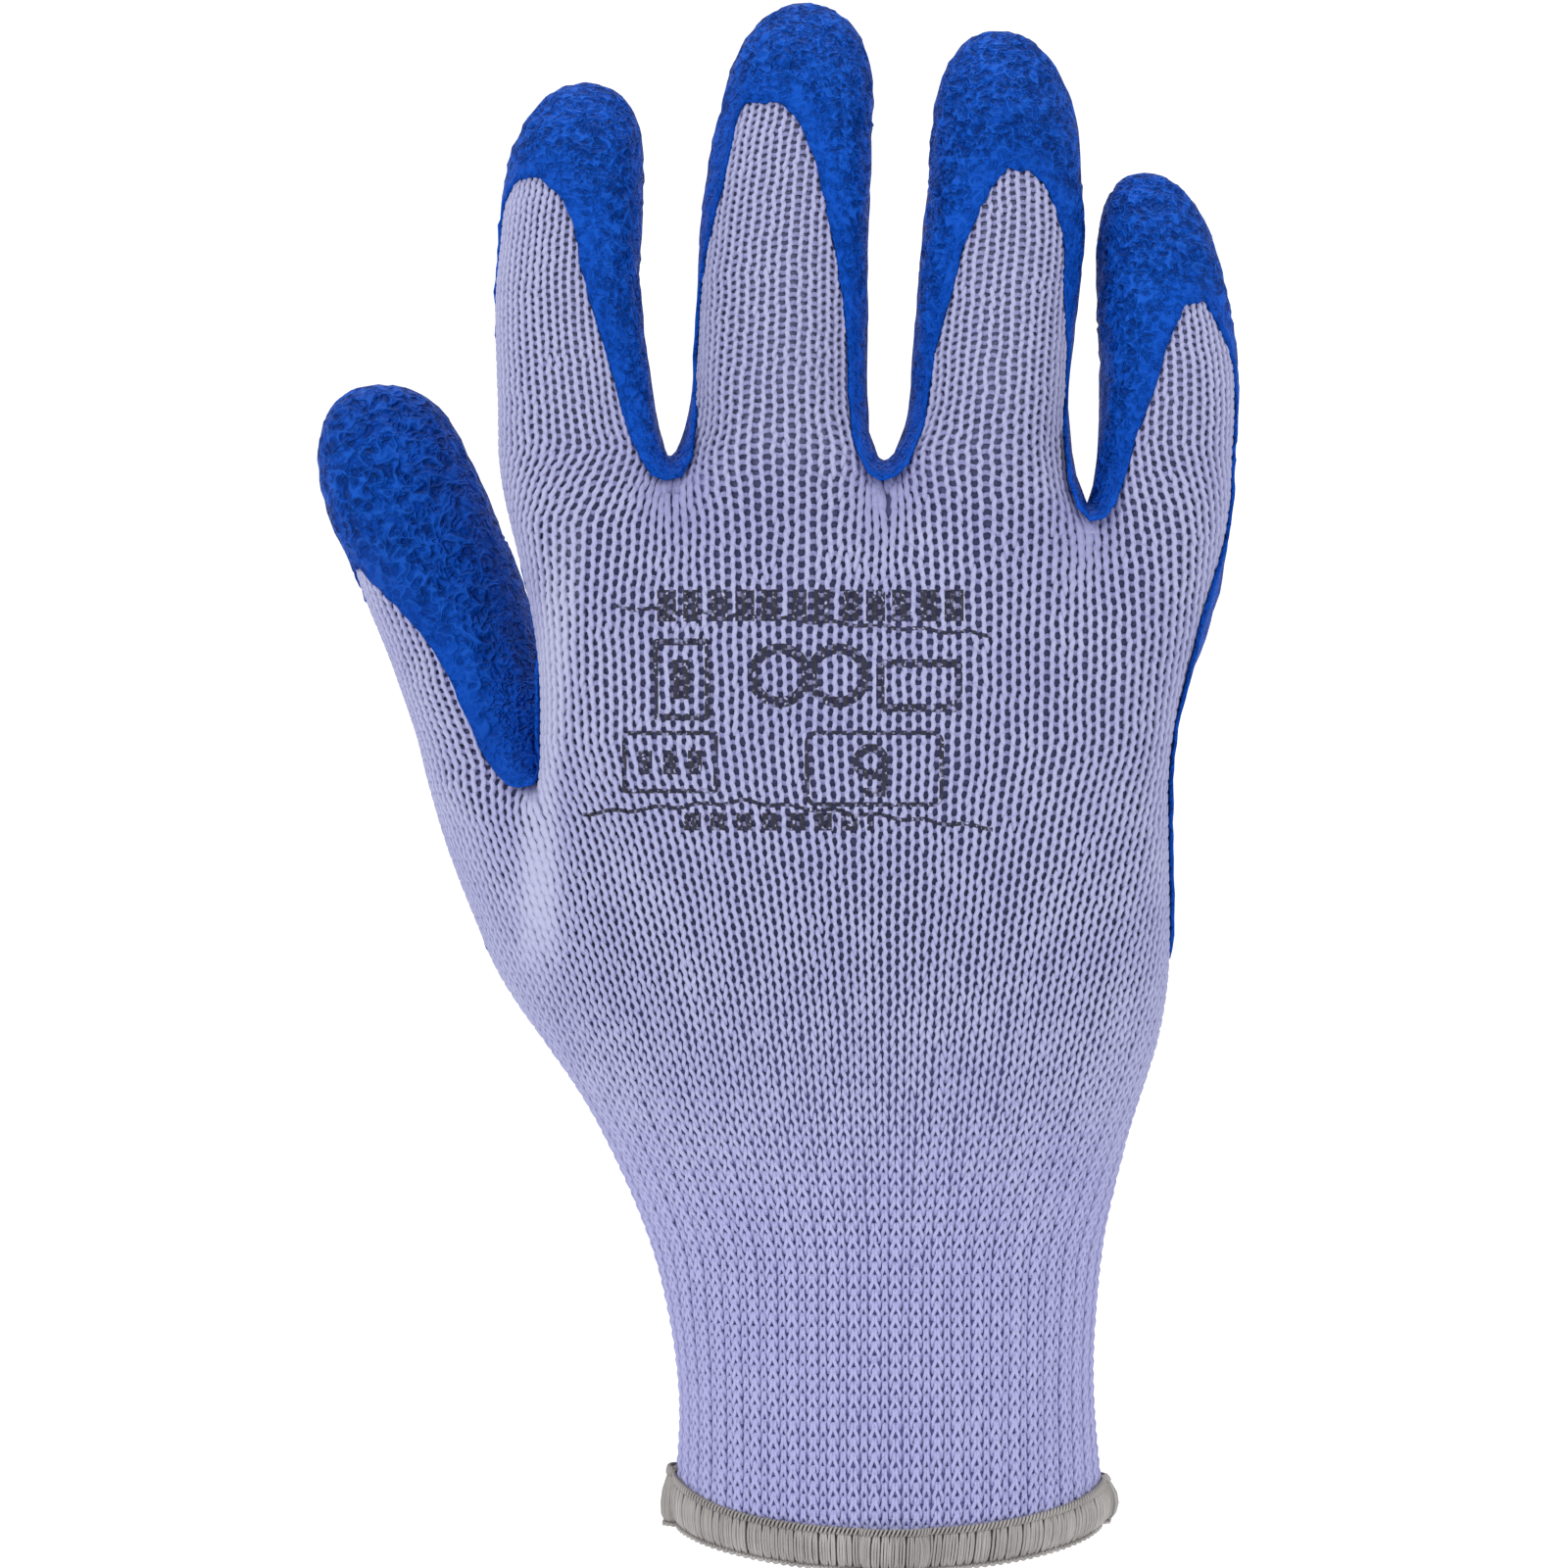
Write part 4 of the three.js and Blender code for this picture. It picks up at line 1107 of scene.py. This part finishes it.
def lining_finish(settings):
    """The wrong side of the knitting, inside the glove: rows of small purl bumps, with painted shade between
    them.
    """
    finish = Finish("liner_inside", {"Roughness": 0.92, "Specular IOR Level": 0.15, "Sheen Weight": 0.2})
    rows = (finish.z * (2.0 * math.pi / 1.9)).sine()
    wales = (finish.y.turn_to(finish.x) * 60.0 + rows * 0.8).sine()
    purl = (rows * 0.5 + 0.5) * (wales * 0.3 + 0.7)
    # Painted shade in the troughs between the purl bumps.
    finish.colour(finish.mix(purl, settings.shade_and_fleck, settings.body))
    finish.bump(purl, 0.0005, 0.8)
    return finish.material


def latex_finish(settings):
    """Crinkled latex: satin blue folds that meet and part, smoother towards the edge, with painted shade in
    the furrows and a painted highlight on the ridges.
    """
    finish = Finish("latex_coat", {"Specular IOR Level": 0.06})
    coarse = finish.attribute("coarse")

    def fold(scale, warp):
        away = finish.noise(scale, 1.0, 0.5, warp) - 0.5
        return 1.0 - (away * away + 0.0004) ** 0.5 * 6.5

    def folds(scale):
        return fold(scale, 0.5).most(fold(scale * 1.6, 0.4) * 0.9).most(0.0)

    height = folds(settings.crinkle_scale) * (1.0 - coarse) + folds(settings.crinkle_scale * 0.7) * coarse
    strength = 0.2 + 0.8 * finish.attribute("inner")
    patch = finish.noise(55.0, 3.0)
    colour = settings.body
    for share, towards in (
        ((patch.between(0.3, 0.7) * 0.5 + coarse * 0.5).least(1.0), settings.dark),
        # Painted shade in the furrows between the crinkles.
        ((1.0 - height.between(0.05, 0.45)) * strength * 0.6, settings.furrow_shade),
        # Painted highlight on the ridges of the crinkles.
        (height.between(0.6, 0.95) * strength * 0.45, settings.ridge_highlight),
    ):
        colour = finish.mix(share, colour, towards)
    finish.colour(colour)
    finish.roughness(0.56 - height * 0.10 + patch * 0.06)
    finish.bump(height * strength + finish.noise(2600.0, 2.0) * 0.05, 0.0013)
    return finish.material


def thread_finish(settings):
    """Warm grey overlock thread, darker between the turns, which is painted shade."""
    finish = Finish("hem_grey", {"Roughness": 0.85, "Specular IOR Level": 0.25, "Sheen Weight": 0.25})
    colour = finish.mix(finish.noise(160.0, 3.0).between(0.3, 0.7), settings.light, settings.body)
    # Painted shade where the thread dives between the turns; on the bundles the same number is a random tint.
    finish.colour(finish.mix(finish.attribute("depth").between(0.2, 1.0), colour, settings.dark))
    finish.bump(finish.noise(4200.0, 2.0), 0.00008, 0.6)
    return finish.material


# Pieces


class Workbench:
    """What the pieces share, each made when it is first asked for."""

    @cached_property
    def liner_cage(self):
        return outer_cage(LINER_NODES, 0.38 * MM)

    @cached_property
    def liner_skin(self):
        return Skin(self.liner_cage)

    @cached_property
    def layout(self):
        return Layout(self.liner_skin)

    @cached_property
    def coat_cage(self):
        blockers = (*LINER_NODES, "latex_coating")
        return outer_cage(("latex_coating",), SAME_POINT, blockers, self.liner_skin.tree)


BENCH = Workbench()


def tree_of(name):
    """A solid, ready to be asked for its nearest point."""
    return BVHTree.FromBMesh(merged_copy((name,)))


def piece(name, mesh, slot, *materials):
    """A finished piece of the glove."""
    made = bpy.data.objects.new(name, mesh)
    bpy.context.scene.collection.objects.link(made)
    for material in materials:
        mesh.materials.append(material)
    mesh.shade_smooth()
    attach(made, "root")
    return made


def give_wall(made, thickness, inner_material=0):
    """Thickens a face inwards."""
    wall = made.modifiers.new("Wall", "SOLIDIFY")
    wall.thickness = thickness
    wall.offset = -1.0
    wall.material_offset = inner_material


def line_sections(settings, shade_outside, inside):
    """The backing of each section of the liner: its outer face, painted shade that shows through the net, and
    the lining.
    """
    mesh = subdivided(BENCH.liner_cage, 1)
    trees = {name: tree_of(name) for name in LINER_NODES}
    owner = [
        min(trees, key=lambda name: trees[name].find_nearest(polygon.center)[3]) for polygon in mesh.polygons
    ]
    place_points(mesh, mesh_points(mesh) - mesh_normals(mesh) * (LINER_WALL * MM - settings.backing))
    for name in LINER_NODES:
        shape = bmesh.new()
        shape.from_mesh(mesh)
        others = [face for face in shape.faces if owner[face.index] != name]
        bmesh.ops.delete(shape, geom=others, context="FACES")
        part = bpy.data.meshes.new(name + "_backing")
        shape.to_mesh(part)
        shape.free()
        made = piece(name + "_backing", part, "knit", shade_outside, inside)
        give_wall(made, settings.backing, 1)
        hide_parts(name)


def way_in(mesh, points):
    """How far each point of a mesh is from its open edges."""
    shape = bmesh.new()
    shape.from_mesh(mesh)
    border = sorted({vert.index for rim in shape.edges if rim.is_boundary for vert in rim.verts})
    shape.free()
    tree = KDTree(len(border))
    for index in border:
        tree.insert(Vector(points[index]), index)
    tree.balance()
    return np.array([tree.find(Vector(point))[2] for point in points])


def crinkle(point, coarse):
    """Height of the crinkles of the latex, about -1 to 1: folds that meet and part."""
    scale = 380.0 - 130.0 * coarse
    first = abs(noise.noise(point * scale))
    second = abs(noise.noise(point * scale * 0.8 + Vector((7.0, 3.0, 1.0))))
    return 1.0 - 5.0 * min(first, second)


def drawn_back(points, normals, inward):
    """Points of the coat with its edge drawn back towards the palm, still on the skin."""
    x, z = points[:, 0] / MM, points[:, 2] / MM
    outer = np.interp(z, *zip(*DRAWN_BACK)) * ease(normals[:, 0], 0.05, 0.8)
    outer = outer * ease(x + 8.0 * (1.0 - ease(z, 140.0, 158.0)), 36.0, 40.0)
    inner = np.interp(z, *zip(*DRAWN_BACK_INSIDE)) * ease(-normals[:, 0], 0.05, 0.7)
    inner = inner * (x > -67.0) * (x < -48.0)
    back = (outer + inner) * (1.0 - ease(inward / MM, 2.0, 16.0))
    skin = BENCH.liner_skin.tree
    moved = points.copy()
    for index in np.nonzero(back > 0.01)[0]:
        point = Vector(points[index])
        _, before, _, standing = skin.find_nearest(point)
        place, after, _, _ = skin.find_nearest(point + Vector((0.0, back[index] * MM, 0.0)))
        facing = (Vector(normals[index]) + after - before).normalized()
        moved[index] = np.array(place + facing * standing)
    return moved


def relaxed(mesh, values, rounds):
    """Values at the points of a mesh, each drawn towards those of its neighbours."""
    one, other = rows_of(mesh.edges, "vertices", np.int32, 2).T
    size = len(values)
    count = np.maximum(np.bincount(one, minlength=size) + np.bincount(other, minlength=size), 1)
    for _ in range(rounds):
        total = np.bincount(one, values[other], size) + np.bincount(other, values[one], size)
        values = 0.4 * values + 0.6 * total / count
    return values


def dip_coat(settings, material):
    """The latex, thin at its edge, with the low crinkles in its shape."""
    mesh = subdivided(BENCH.coat_cage, 2)
    points = mesh_points(mesh)
    inward = way_in(mesh, points)
    points = drawn_back(points, mesh_normals(mesh), inward)
    noise.seed_set(COAT_SEED)
    ragged = np.array([noise.noise_vector(Vector(point) * 700.0) for point in points])
    points = points + ragged * (0.45 * MM * (1.0 - ease(inward / MM, 0.3, 2.5)))[:, None]
    place_points(mesh, points)
    thumb_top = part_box("knit_thumb")[1].z + 3.0 * MM
    on_thumb = (points[:, 0] < -58.0 * MM) & (points[:, 2] < thumb_top)
    coarse = ease(points[:, 0], -60.0 * MM, -64.0 * MM) * on_thumb
    wrinkle = np.array([crinkle(Vector(point), rough) for point, rough in zip(points, coarse)])
    calm = 0.25 + 0.75 * ease(inward, 0.5 * MM, 7.0 * MM)
    cover = ease(inward, 0.0, settings.thinning)
    height = settings.edge + (settings.thickness - settings.edge) * cover
    skin = BENCH.liner_skin.tree
    standing = np.array([skin.find_nearest(Vector(point))[3] for point in points])
    move = relaxed(mesh, np.clip(height - standing, -2.2 * MM, 0.4 * MM), 4)
    move = move + settings.crinkle * wrinkle * calm * cover
    normals = unit(np.stack([relaxed(mesh, part, 3) for part in mesh_normals(mesh).T], -1))
    place_points(mesh, points + normals * move[:, None])
    hold(mesh, "inner", calm)
    hold(mesh, "coarse", coarse)
    made = piece("latex_dip", mesh, "latex", material)
    give_wall(made, settings.edge + 0.35 * MM)
    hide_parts("latex_coating")


class Edge:
    """The edge of the cuff, and what is out and up from it, by the share of the way round."""

    def __init__(self, layout):
        start, above = layout.trunk.rings[0], layout.trunk.rings[4]
        up = unit(above - start)
        out = np.cross(unit(np.gradient(start, axis=0)), up)
        out[:, 2] = 0.0
        self.grids = [np.vstack([grid[:-1], grid[:1]]) for grid in (start, unit(out), up)]
        over = start[:, 0]
        self.centre = 0.5 * (over.min() + over.max())
        self.half_width = 0.5 * (over.max() - over.min())
        self.middle = 0.5 * (start[over.argmin(), 1] + start[over.argmax(), 1])
        face = self.grids[0] + self.grids[1] * ((1.6 + self.swelling(self.grids[0], HEM_BULGE))[:, None] * MM)
        self.arc = lengths_along(face)
        self.length = self.arc[-1]

    def swelling(self, start, at_sides, behind=7.0):
        """A measure of the roll of the hem that grows to what it is at each side of the wrist."""
        side = (start[:, 0] - self.centre) / self.half_width
        power = np.where(start[:, 1] > self.middle, behind, 7.0)
        return np.where(side > 0.0, *at_sides) * np.clip(np.abs(side), 0.0, 1.0) ** power

    def at(self, share):
        way = np.mod(share, 1.0) * self.length
        return [places_along(way, self.arc, grid) for grid in self.grids]

    def path(self, share, out, up):
        """Points a way out and up from the edge, in millimetres."""
        start, outward, upward = self.at(share)
        bulge = self.swelling(start, HEM_BULGE)
        out = out + bulge * np.clip(1.0 - ((up - 2.0) / 3.4) ** 2, -0.3, 1.0) * (out > -0.5)
        rise = self.swelling(start, HEM_RISE, 1.5)
        up = 2.0 + (up - 2.0) * (1.0 - 0.08 * bulge) + rise * np.clip((up - 1.0) / 4.3, 0.0, 1.0)
        return start + outward * (out * MM)[:, None] + upward * (up * MM)[:, None]

    def level_path(self, share, out, up):
        """A path at the same way out and up all along."""
        return self.path(share, np.full(len(share), out), np.full(len(share), up))


def overlock(settings, material):
    """The hem: threads wrapped in bundles round the edge, a braided chain and a beaded edge."""
    edge = Edge(BENCH.layout)
    random = np.random.default_rng(HEM_SEED)
    threads = Threads()
    out, up = np.array(HEM_TURN).T
    shares = np.linspace(0.0, 1.0, 160, endpoint=False)
    inner = np.array(HEM_MIDDLE) + (np.array(HEM_TURN) - HEM_MIDDLE) * 0.88
    # The core is given a depth that the thread's finish paints as shade.
    threads.add_tube(np.stack([edge.level_path(shares, *place) for place in inner], 1), 0.9)
    bundles = round(edge.length / settings.stitch)
    gather = np.exp(-((up - 5.1) / 1.1) ** 2) + 0.8 * np.exp(-((up + 0.9) / 0.9) ** 2)
    stray = random.normal(0.0, 0.07, bundles)
    for bundle in range(bundles):
        for ply in range(HEM_PLIES):
            place = (ply + 0.5) / HEM_PLIES - 0.5
            place = place * (1.0 - 0.42 * gather) + random.normal(0.0, 0.03)
            share = (bundle + 0.5 + place + stray[bundle] + 0.12 * (up - 2.0) / 4.0) / bundles
            lift = random.normal(0.0, 0.05)
            path = edge.path(share, out + lift * (out > 0.0), up)
            spine = edge.level_path(share, *HEM_MIDDLE)
            tint = 0.15 + 0.25 * random.random()
            threads.add(path, unit(path - spine), settings.thread * (0.92 + 0.16 * random.random()), tint)
    share = np.arange(bundles * 8) / (bundles * 8)
    face = edge.at(share)[1]
    swing = 2.0 * math.pi * share * bundles
    # The depths of the chain and the beads are painted as shade where the thread dives under.
    threads.add(edge.level_path(share, 0.80, 5.05), face, 1.5 * settings.thread, 1.0, closed=True)
    for phase in (0.0, math.pi):
        path = edge.path(share, 1.12 + 0.26 * np.cos(swing + phase), 5.05 + 0.50 * np.sin(swing + phase))
        threads.add(path, face, 0.88 * settings.thread, 0.62 - 0.30 * np.cos(swing + phase), closed=True)
    drop = np.abs(np.sin(0.5 * swing))
    path = edge.path(share, 1.0 + 0.2 * drop, -0.70 - 0.45 * drop)
    threads.add(path, face, 1.25 * settings.thread, 0.8 * (1.0 - drop), closed=True)
    made = piece("hem_overlock", threads.mesh("hem_overlock"), "hem_thread", material)
    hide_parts("overlock_hem")


# Stage


def placed(name, data, place, turn):
    """A lamp or a camera."""
    made = bpy.data.objects.new(name, data)
    made.location = place
    made.rotation_euler = turn
    bpy.context.scene.collection.objects.link(made)
    return made


def backdrop(settings):
    """The floor and the wall behind it in one curved sheet."""
    reach, depth, bend, tall = 3.0, 3.6, 0.16, 3.0
    shape = bmesh.new()
    start = [shape.verts.new((side, -reach, -settings.drop)) for side in (-reach, reach)]
    rim = [shape.edges.new(start)]
    steps = [(0.0, depth, 0.0)]
    for angle in range(5, 90, 10):
        steps.append((0.0, bend * math.cos(math.radians(angle)), bend * math.sin(math.radians(angle))))
    steps.append((0.0, 0.0, tall))
    for step in steps:
        grown = bmesh.ops.extrude_edge_only(shape, edges=rim)["geom"]
        moved = [item for item in grown if isinstance(item, bmesh.types.BMVert)]
        rim = [item for item in grown if isinstance(item, bmesh.types.BMEdge)]
        bmesh.ops.translate(shape, verts=moved, vec=step)
    bmesh.ops.recalc_face_normals(shape, faces=shape.faces)
    mesh = bpy.data.meshes.new("backdrop")
    shape.to_mesh(mesh)
    shape.free()
    mesh.shade_smooth()
    finish = Finish("paper_white", {"Roughness": 0.95, "Specular IOR Level": 0.0})
    finish.colour(settings.paper)
    mesh.materials.append(finish.material)
    made = bpy.data.objects.new("backdrop", mesh)
    bpy.context.scene.collection.objects.link(made)


def set_lights(settings):
    target = Vector((-0.017, 0.0, 0.13))
    for name, place, size, power in (
        ("key", (-1.2, -1.0, 1.0), 1.0, settings.key),
        ("fill", (1.3, -1.0, 0.6), 1.2, settings.fill),
        ("top", (0.0, 0.3, 1.6), 1.0, settings.top),
    ):
        data = bpy.data.lights.new(name, "AREA")
        data.shape = "DISK"
        data.size = size
        data.energy = power
        placed(name, data, place, (target - Vector(place)).to_track_quat("-Z", "Y").to_euler())
    world = bpy.data.worlds.new("studio")
    world.use_nodes = True
    sky = world.node_tree.nodes["Background"]
    sky.inputs["Color"].default_value = (1.0, 1.0, 1.0, 1.0)
    sky.inputs["Strength"].default_value = settings.sky
    bpy.context.scene.world = world
    bpy.context.scene.view_settings.view_transform = "Standard"


def set_camera(settings):
    data = bpy.data.cameras.new("camera")
    data.lens = settings.lens
    data.sensor_width = 36.0
    data.clip_start = 0.05
    data.clip_end = 20.0
    place = (settings.aim_x, -settings.distance, settings.aim_z)
    bpy.context.scene.camera = placed("camera", data, place, (math.radians(90.0), 0.0, 0.0))


# Settings, operators and panel


def Number(name, description, default, low=0.0, top=10000.0, **kind):
    return FloatProperty(name=name, description=description, default=default, min=low, max=top, **kind)


def Length(name, description, default, top=0.01, low=0.0):
    return Number(name, description, default, low, top, unit="LENGTH", precision=5)


def Colour(name, description, red, green, blue):
    return FloatVectorProperty(
        name=name, description=description, default=tone(red, green, blue), size=3, min=0.0, max=1.0,
        subtype="COLOR",
    )


class KnitSettings(bpy.types.PropertyGroup):
    """The yarn of the liner and how it is knitted."""

    loft: Length("Loft", "How far a stitch waves in and out of the fabric", 0.0002)
    proud: Length("Proud", "How far the yarn stands above the solids", 0.0001)
    overlap: Number("Overlap", "How far a loop reaches to each side of its course, in courses",
                    0.78, 0.4, 1.2)
    unevenness: Number("Unevenness", "How far a stitch is off its place, in stitches", 0.04, 0.0, 0.2)
    wander: Number("Wander", "How far a wale strays sideways, in wales", 0.035, 0.0, 0.3)
    steps: IntProperty(
        name="Steps", description="Points along the yarn in a stitch", default=10, min=6, max=24,
    )
    backing: Length("Backing", "Thickness of the inner layer", 0.00045)
    light: Colour("Light yarn", "Colour of the palest yarn", 173, 175, 210)
    body: Colour("Yarn", "Colour of the yarn", 159, 161, 203)
    cuff: Colour("Cuff yarn", "Colour of the yarn in the ribs", 172, 172, 222)
    # Painted shade where the yarn dives, also the colour of random flecks.
    shade_and_fleck: Colour("Deep yarn", "Colour of the yarn where it dives", 126, 127, 176)
    # Painted shade: the colours of the backing, which stand for the dark in the holes of the net.
    shade_hand: Colour("Shade of the hand", "What shows through the net of the hand", 98, 100, 138)
    shade_cuff: Colour("Shade of the cuff", "What shows through the ribs", 180, 178, 246)
    shade_finger: Colour("Shade of the fingers", "What shows through the fingers", 158, 160, 194)
    fold: Colour("Fold", "Colour of the closed stitches beside the thumb", 178, 181, 212)
    ink: Colour("Ink", "Colour of the stamp", 34, 34, 42)


class LatexSettings(bpy.types.PropertyGroup):
    """The latex coat."""

    thickness: Length("Thickness", "How far the coat stands above the yarn", 0.00125)
    edge: Length("Edge", "How far its edge stands above the yarn", 0.00025)
    thinning: Length("Thinning", "How far in from its edge the coat is whole", 0.008, 0.05)
    crinkle: Length("Crinkle", "Height of the crinkles", 0.0003)
    crinkle_scale: Number("Crinkle scale", "Crinkle fields in a metre", 470.0, 20.0, 2000.0)
    body: Colour("Latex", "Colour of the latex", 6, 76, 184)
    dark: Colour("Dark latex", "Colour of its darker patches", 0, 59, 153)
    # Painted shade in the furrows and a painted highlight on the ridges of the crinkles.
    furrow_shade: Colour("Furrows", "Colour between the crinkles", 0, 26, 88)
    ridge_highlight: Colour("Ridges", "Colour of the crinkles", 32, 98, 200)


class HemSettings(bpy.types.PropertyGroup):
    """The overlocked edge of the cuff."""

    stitch: Length("Stitch", "Pitch of the chain, of the bundles and of the beads", 0.00134)
    thread: Length("Thread", "Half the thickness of the thread", 0.00025)
    light: Colour("Light thread", "Colour of the thread", 172, 168, 166)
    body: Colour("Thread", "Colour of its darker lengths", 150, 146, 144)
    # Painted shade between the turns of the thread.
    dark: Colour("Dark thread", "Colour between the turns", 84, 78, 78)


class StageSettings(bpy.types.PropertyGroup):
    """Camera, paper and lights."""

    distance: Length("Distance", "From the camera to the glove", 0.9, 5.0)
    aim_x: Length("Aim across", "Across at the middle of the picture", -0.0165, 1.0, -1.0)
    aim_z: Length("Aim up", "Height at the middle of the picture", 0.1239, 1.0, -1.0)
    drop: Length("Drop", "From the glove down to the floor", 0.03, 1.0)
    lens: Number("Lens", "Focal length in millimetres", 129.7, 10.0)
    key: Number("Key", "Power of the main light", 11.0, subtype="POWER")
    fill: Number("Fill", "Power of the second light", 7.0, subtype="POWER")
    top: Number("Top", "Power of the light above", 10.0, subtype="POWER")
    sky: Number("Sky", "Brightness all round", 0.75)
    paper: Colour("Paper", "Colour of the floor and the wall", 246, 246, 246)


class Step:
    """One step in making the glove, with the settings that it goes by."""

    def execute(self, context):
        self.make(getattr(context.scene, self.group))
        return {"FINISHED"}


class GLOVE_OT_line(Step, bpy.types.Operator):
    """Line the seven sections of the liner with their inner layer"""

    bl_idname = "glove.line"
    bl_label = "Line the liner"
    group = "glove_knit"

    def make(self, settings):
        line_sections(settings, backing_shade_finish(settings), lining_finish(settings))


class GLOVE_OT_knit(Step, bpy.types.Operator):
    """Knit the liner in yarn, course by course, where the latex leaves it bare"""

    bl_idname = "glove.knit"
    bl_label = "Knit the liner"
    group = "glove_knit"

    def make(self, settings):
        material = yarn_finish(settings)
        sections = knit_liner(BENCH.layout, settings, tree_of("latex_coating"))
        for section, held in sections.items():
            for part, threads in enumerate(held, 1):
                name = f"yarn_{section}_{part}" if len(held) > 1 else f"yarn_{section}"
                piece(name, threads.mesh(name), "knit", material)


class GLOVE_OT_dip(Step, bpy.types.Operator):
    """Coat the palm, the sides of the fingers and the fingertips in crinkled latex"""

    bl_idname = "glove.dip"
    bl_label = "Dip in latex"
    group = "glove_latex"

    def make(self, settings):
        dip_coat(settings, latex_finish(settings))


class GLOVE_OT_overlock(Step, bpy.types.Operator):
    """Overlock the edge of the cuff in grey thread"""

    bl_idname = "glove.overlock"
    bl_label = "Overlock the hem"
    group = "glove_hem"

    def make(self, settings):
        overlock(settings, thread_finish(settings))


class GLOVE_OT_stage(Step, bpy.types.Operator):
    """Set the paper, the lights and the camera"""

    bl_idname = "glove.stage"
    bl_label = "Set the stage"
    group = "glove_stage"

    def make(self, settings):
        backdrop(settings)
        set_lights(settings)
        set_camera(settings)


GROUPS = {
    "glove_knit": KnitSettings,
    "glove_latex": LatexSettings,
    "glove_hem": HemSettings,
    "glove_stage": StageSettings,
}
OPERATORS = (GLOVE_OT_line, GLOVE_OT_knit, GLOVE_OT_dip, GLOVE_OT_overlock, GLOVE_OT_stage)


class GLOVE_PT_panel(bpy.types.Panel):
    """The steps that make the glove, in order, with their sizes and colours"""

    bl_idname = "GLOVE_PT_panel"
    bl_label = "Glove"
    bl_space_type = "VIEW_3D"
    bl_region_type = "UI"
    bl_category = "Glove"

    def draw(self, context):
        for operator in OPERATORS:
            self.layout.operator(operator.bl_idname)
        for name, group in GROUPS.items():
            box = self.layout.box()
            box.label(text=group.__doc__)
            for held in group.__annotations__:
                box.prop(getattr(context.scene, name), held)


def register():
    for group in GROUPS.values():
        bpy.utils.register_class(group)
    for name, group in GROUPS.items():
        setattr(bpy.types.Scene, name, PointerProperty(type=group))
    for operator in OPERATORS:
        bpy.utils.register_class(operator)
    bpy.utils.register_class(GLOVE_PT_panel)


def unregister():
    bpy.utils.unregister_class(GLOVE_PT_panel)
    for operator in reversed(OPERATORS):
        bpy.utils.unregister_class(operator)
    for name in GROUPS:
        delattr(bpy.types.Scene, name)
    for group in reversed(list(GROUPS.values())):
        bpy.utils.unregister_class(group)


def main():
    register()
    bpy.ops.glove.line()
    bpy.ops.glove.knit()
    bpy.ops.glove.dip()
    bpy.ops.glove.overlock()
    bpy.ops.glove.stage()


if __name__ == "__main__":
    main()
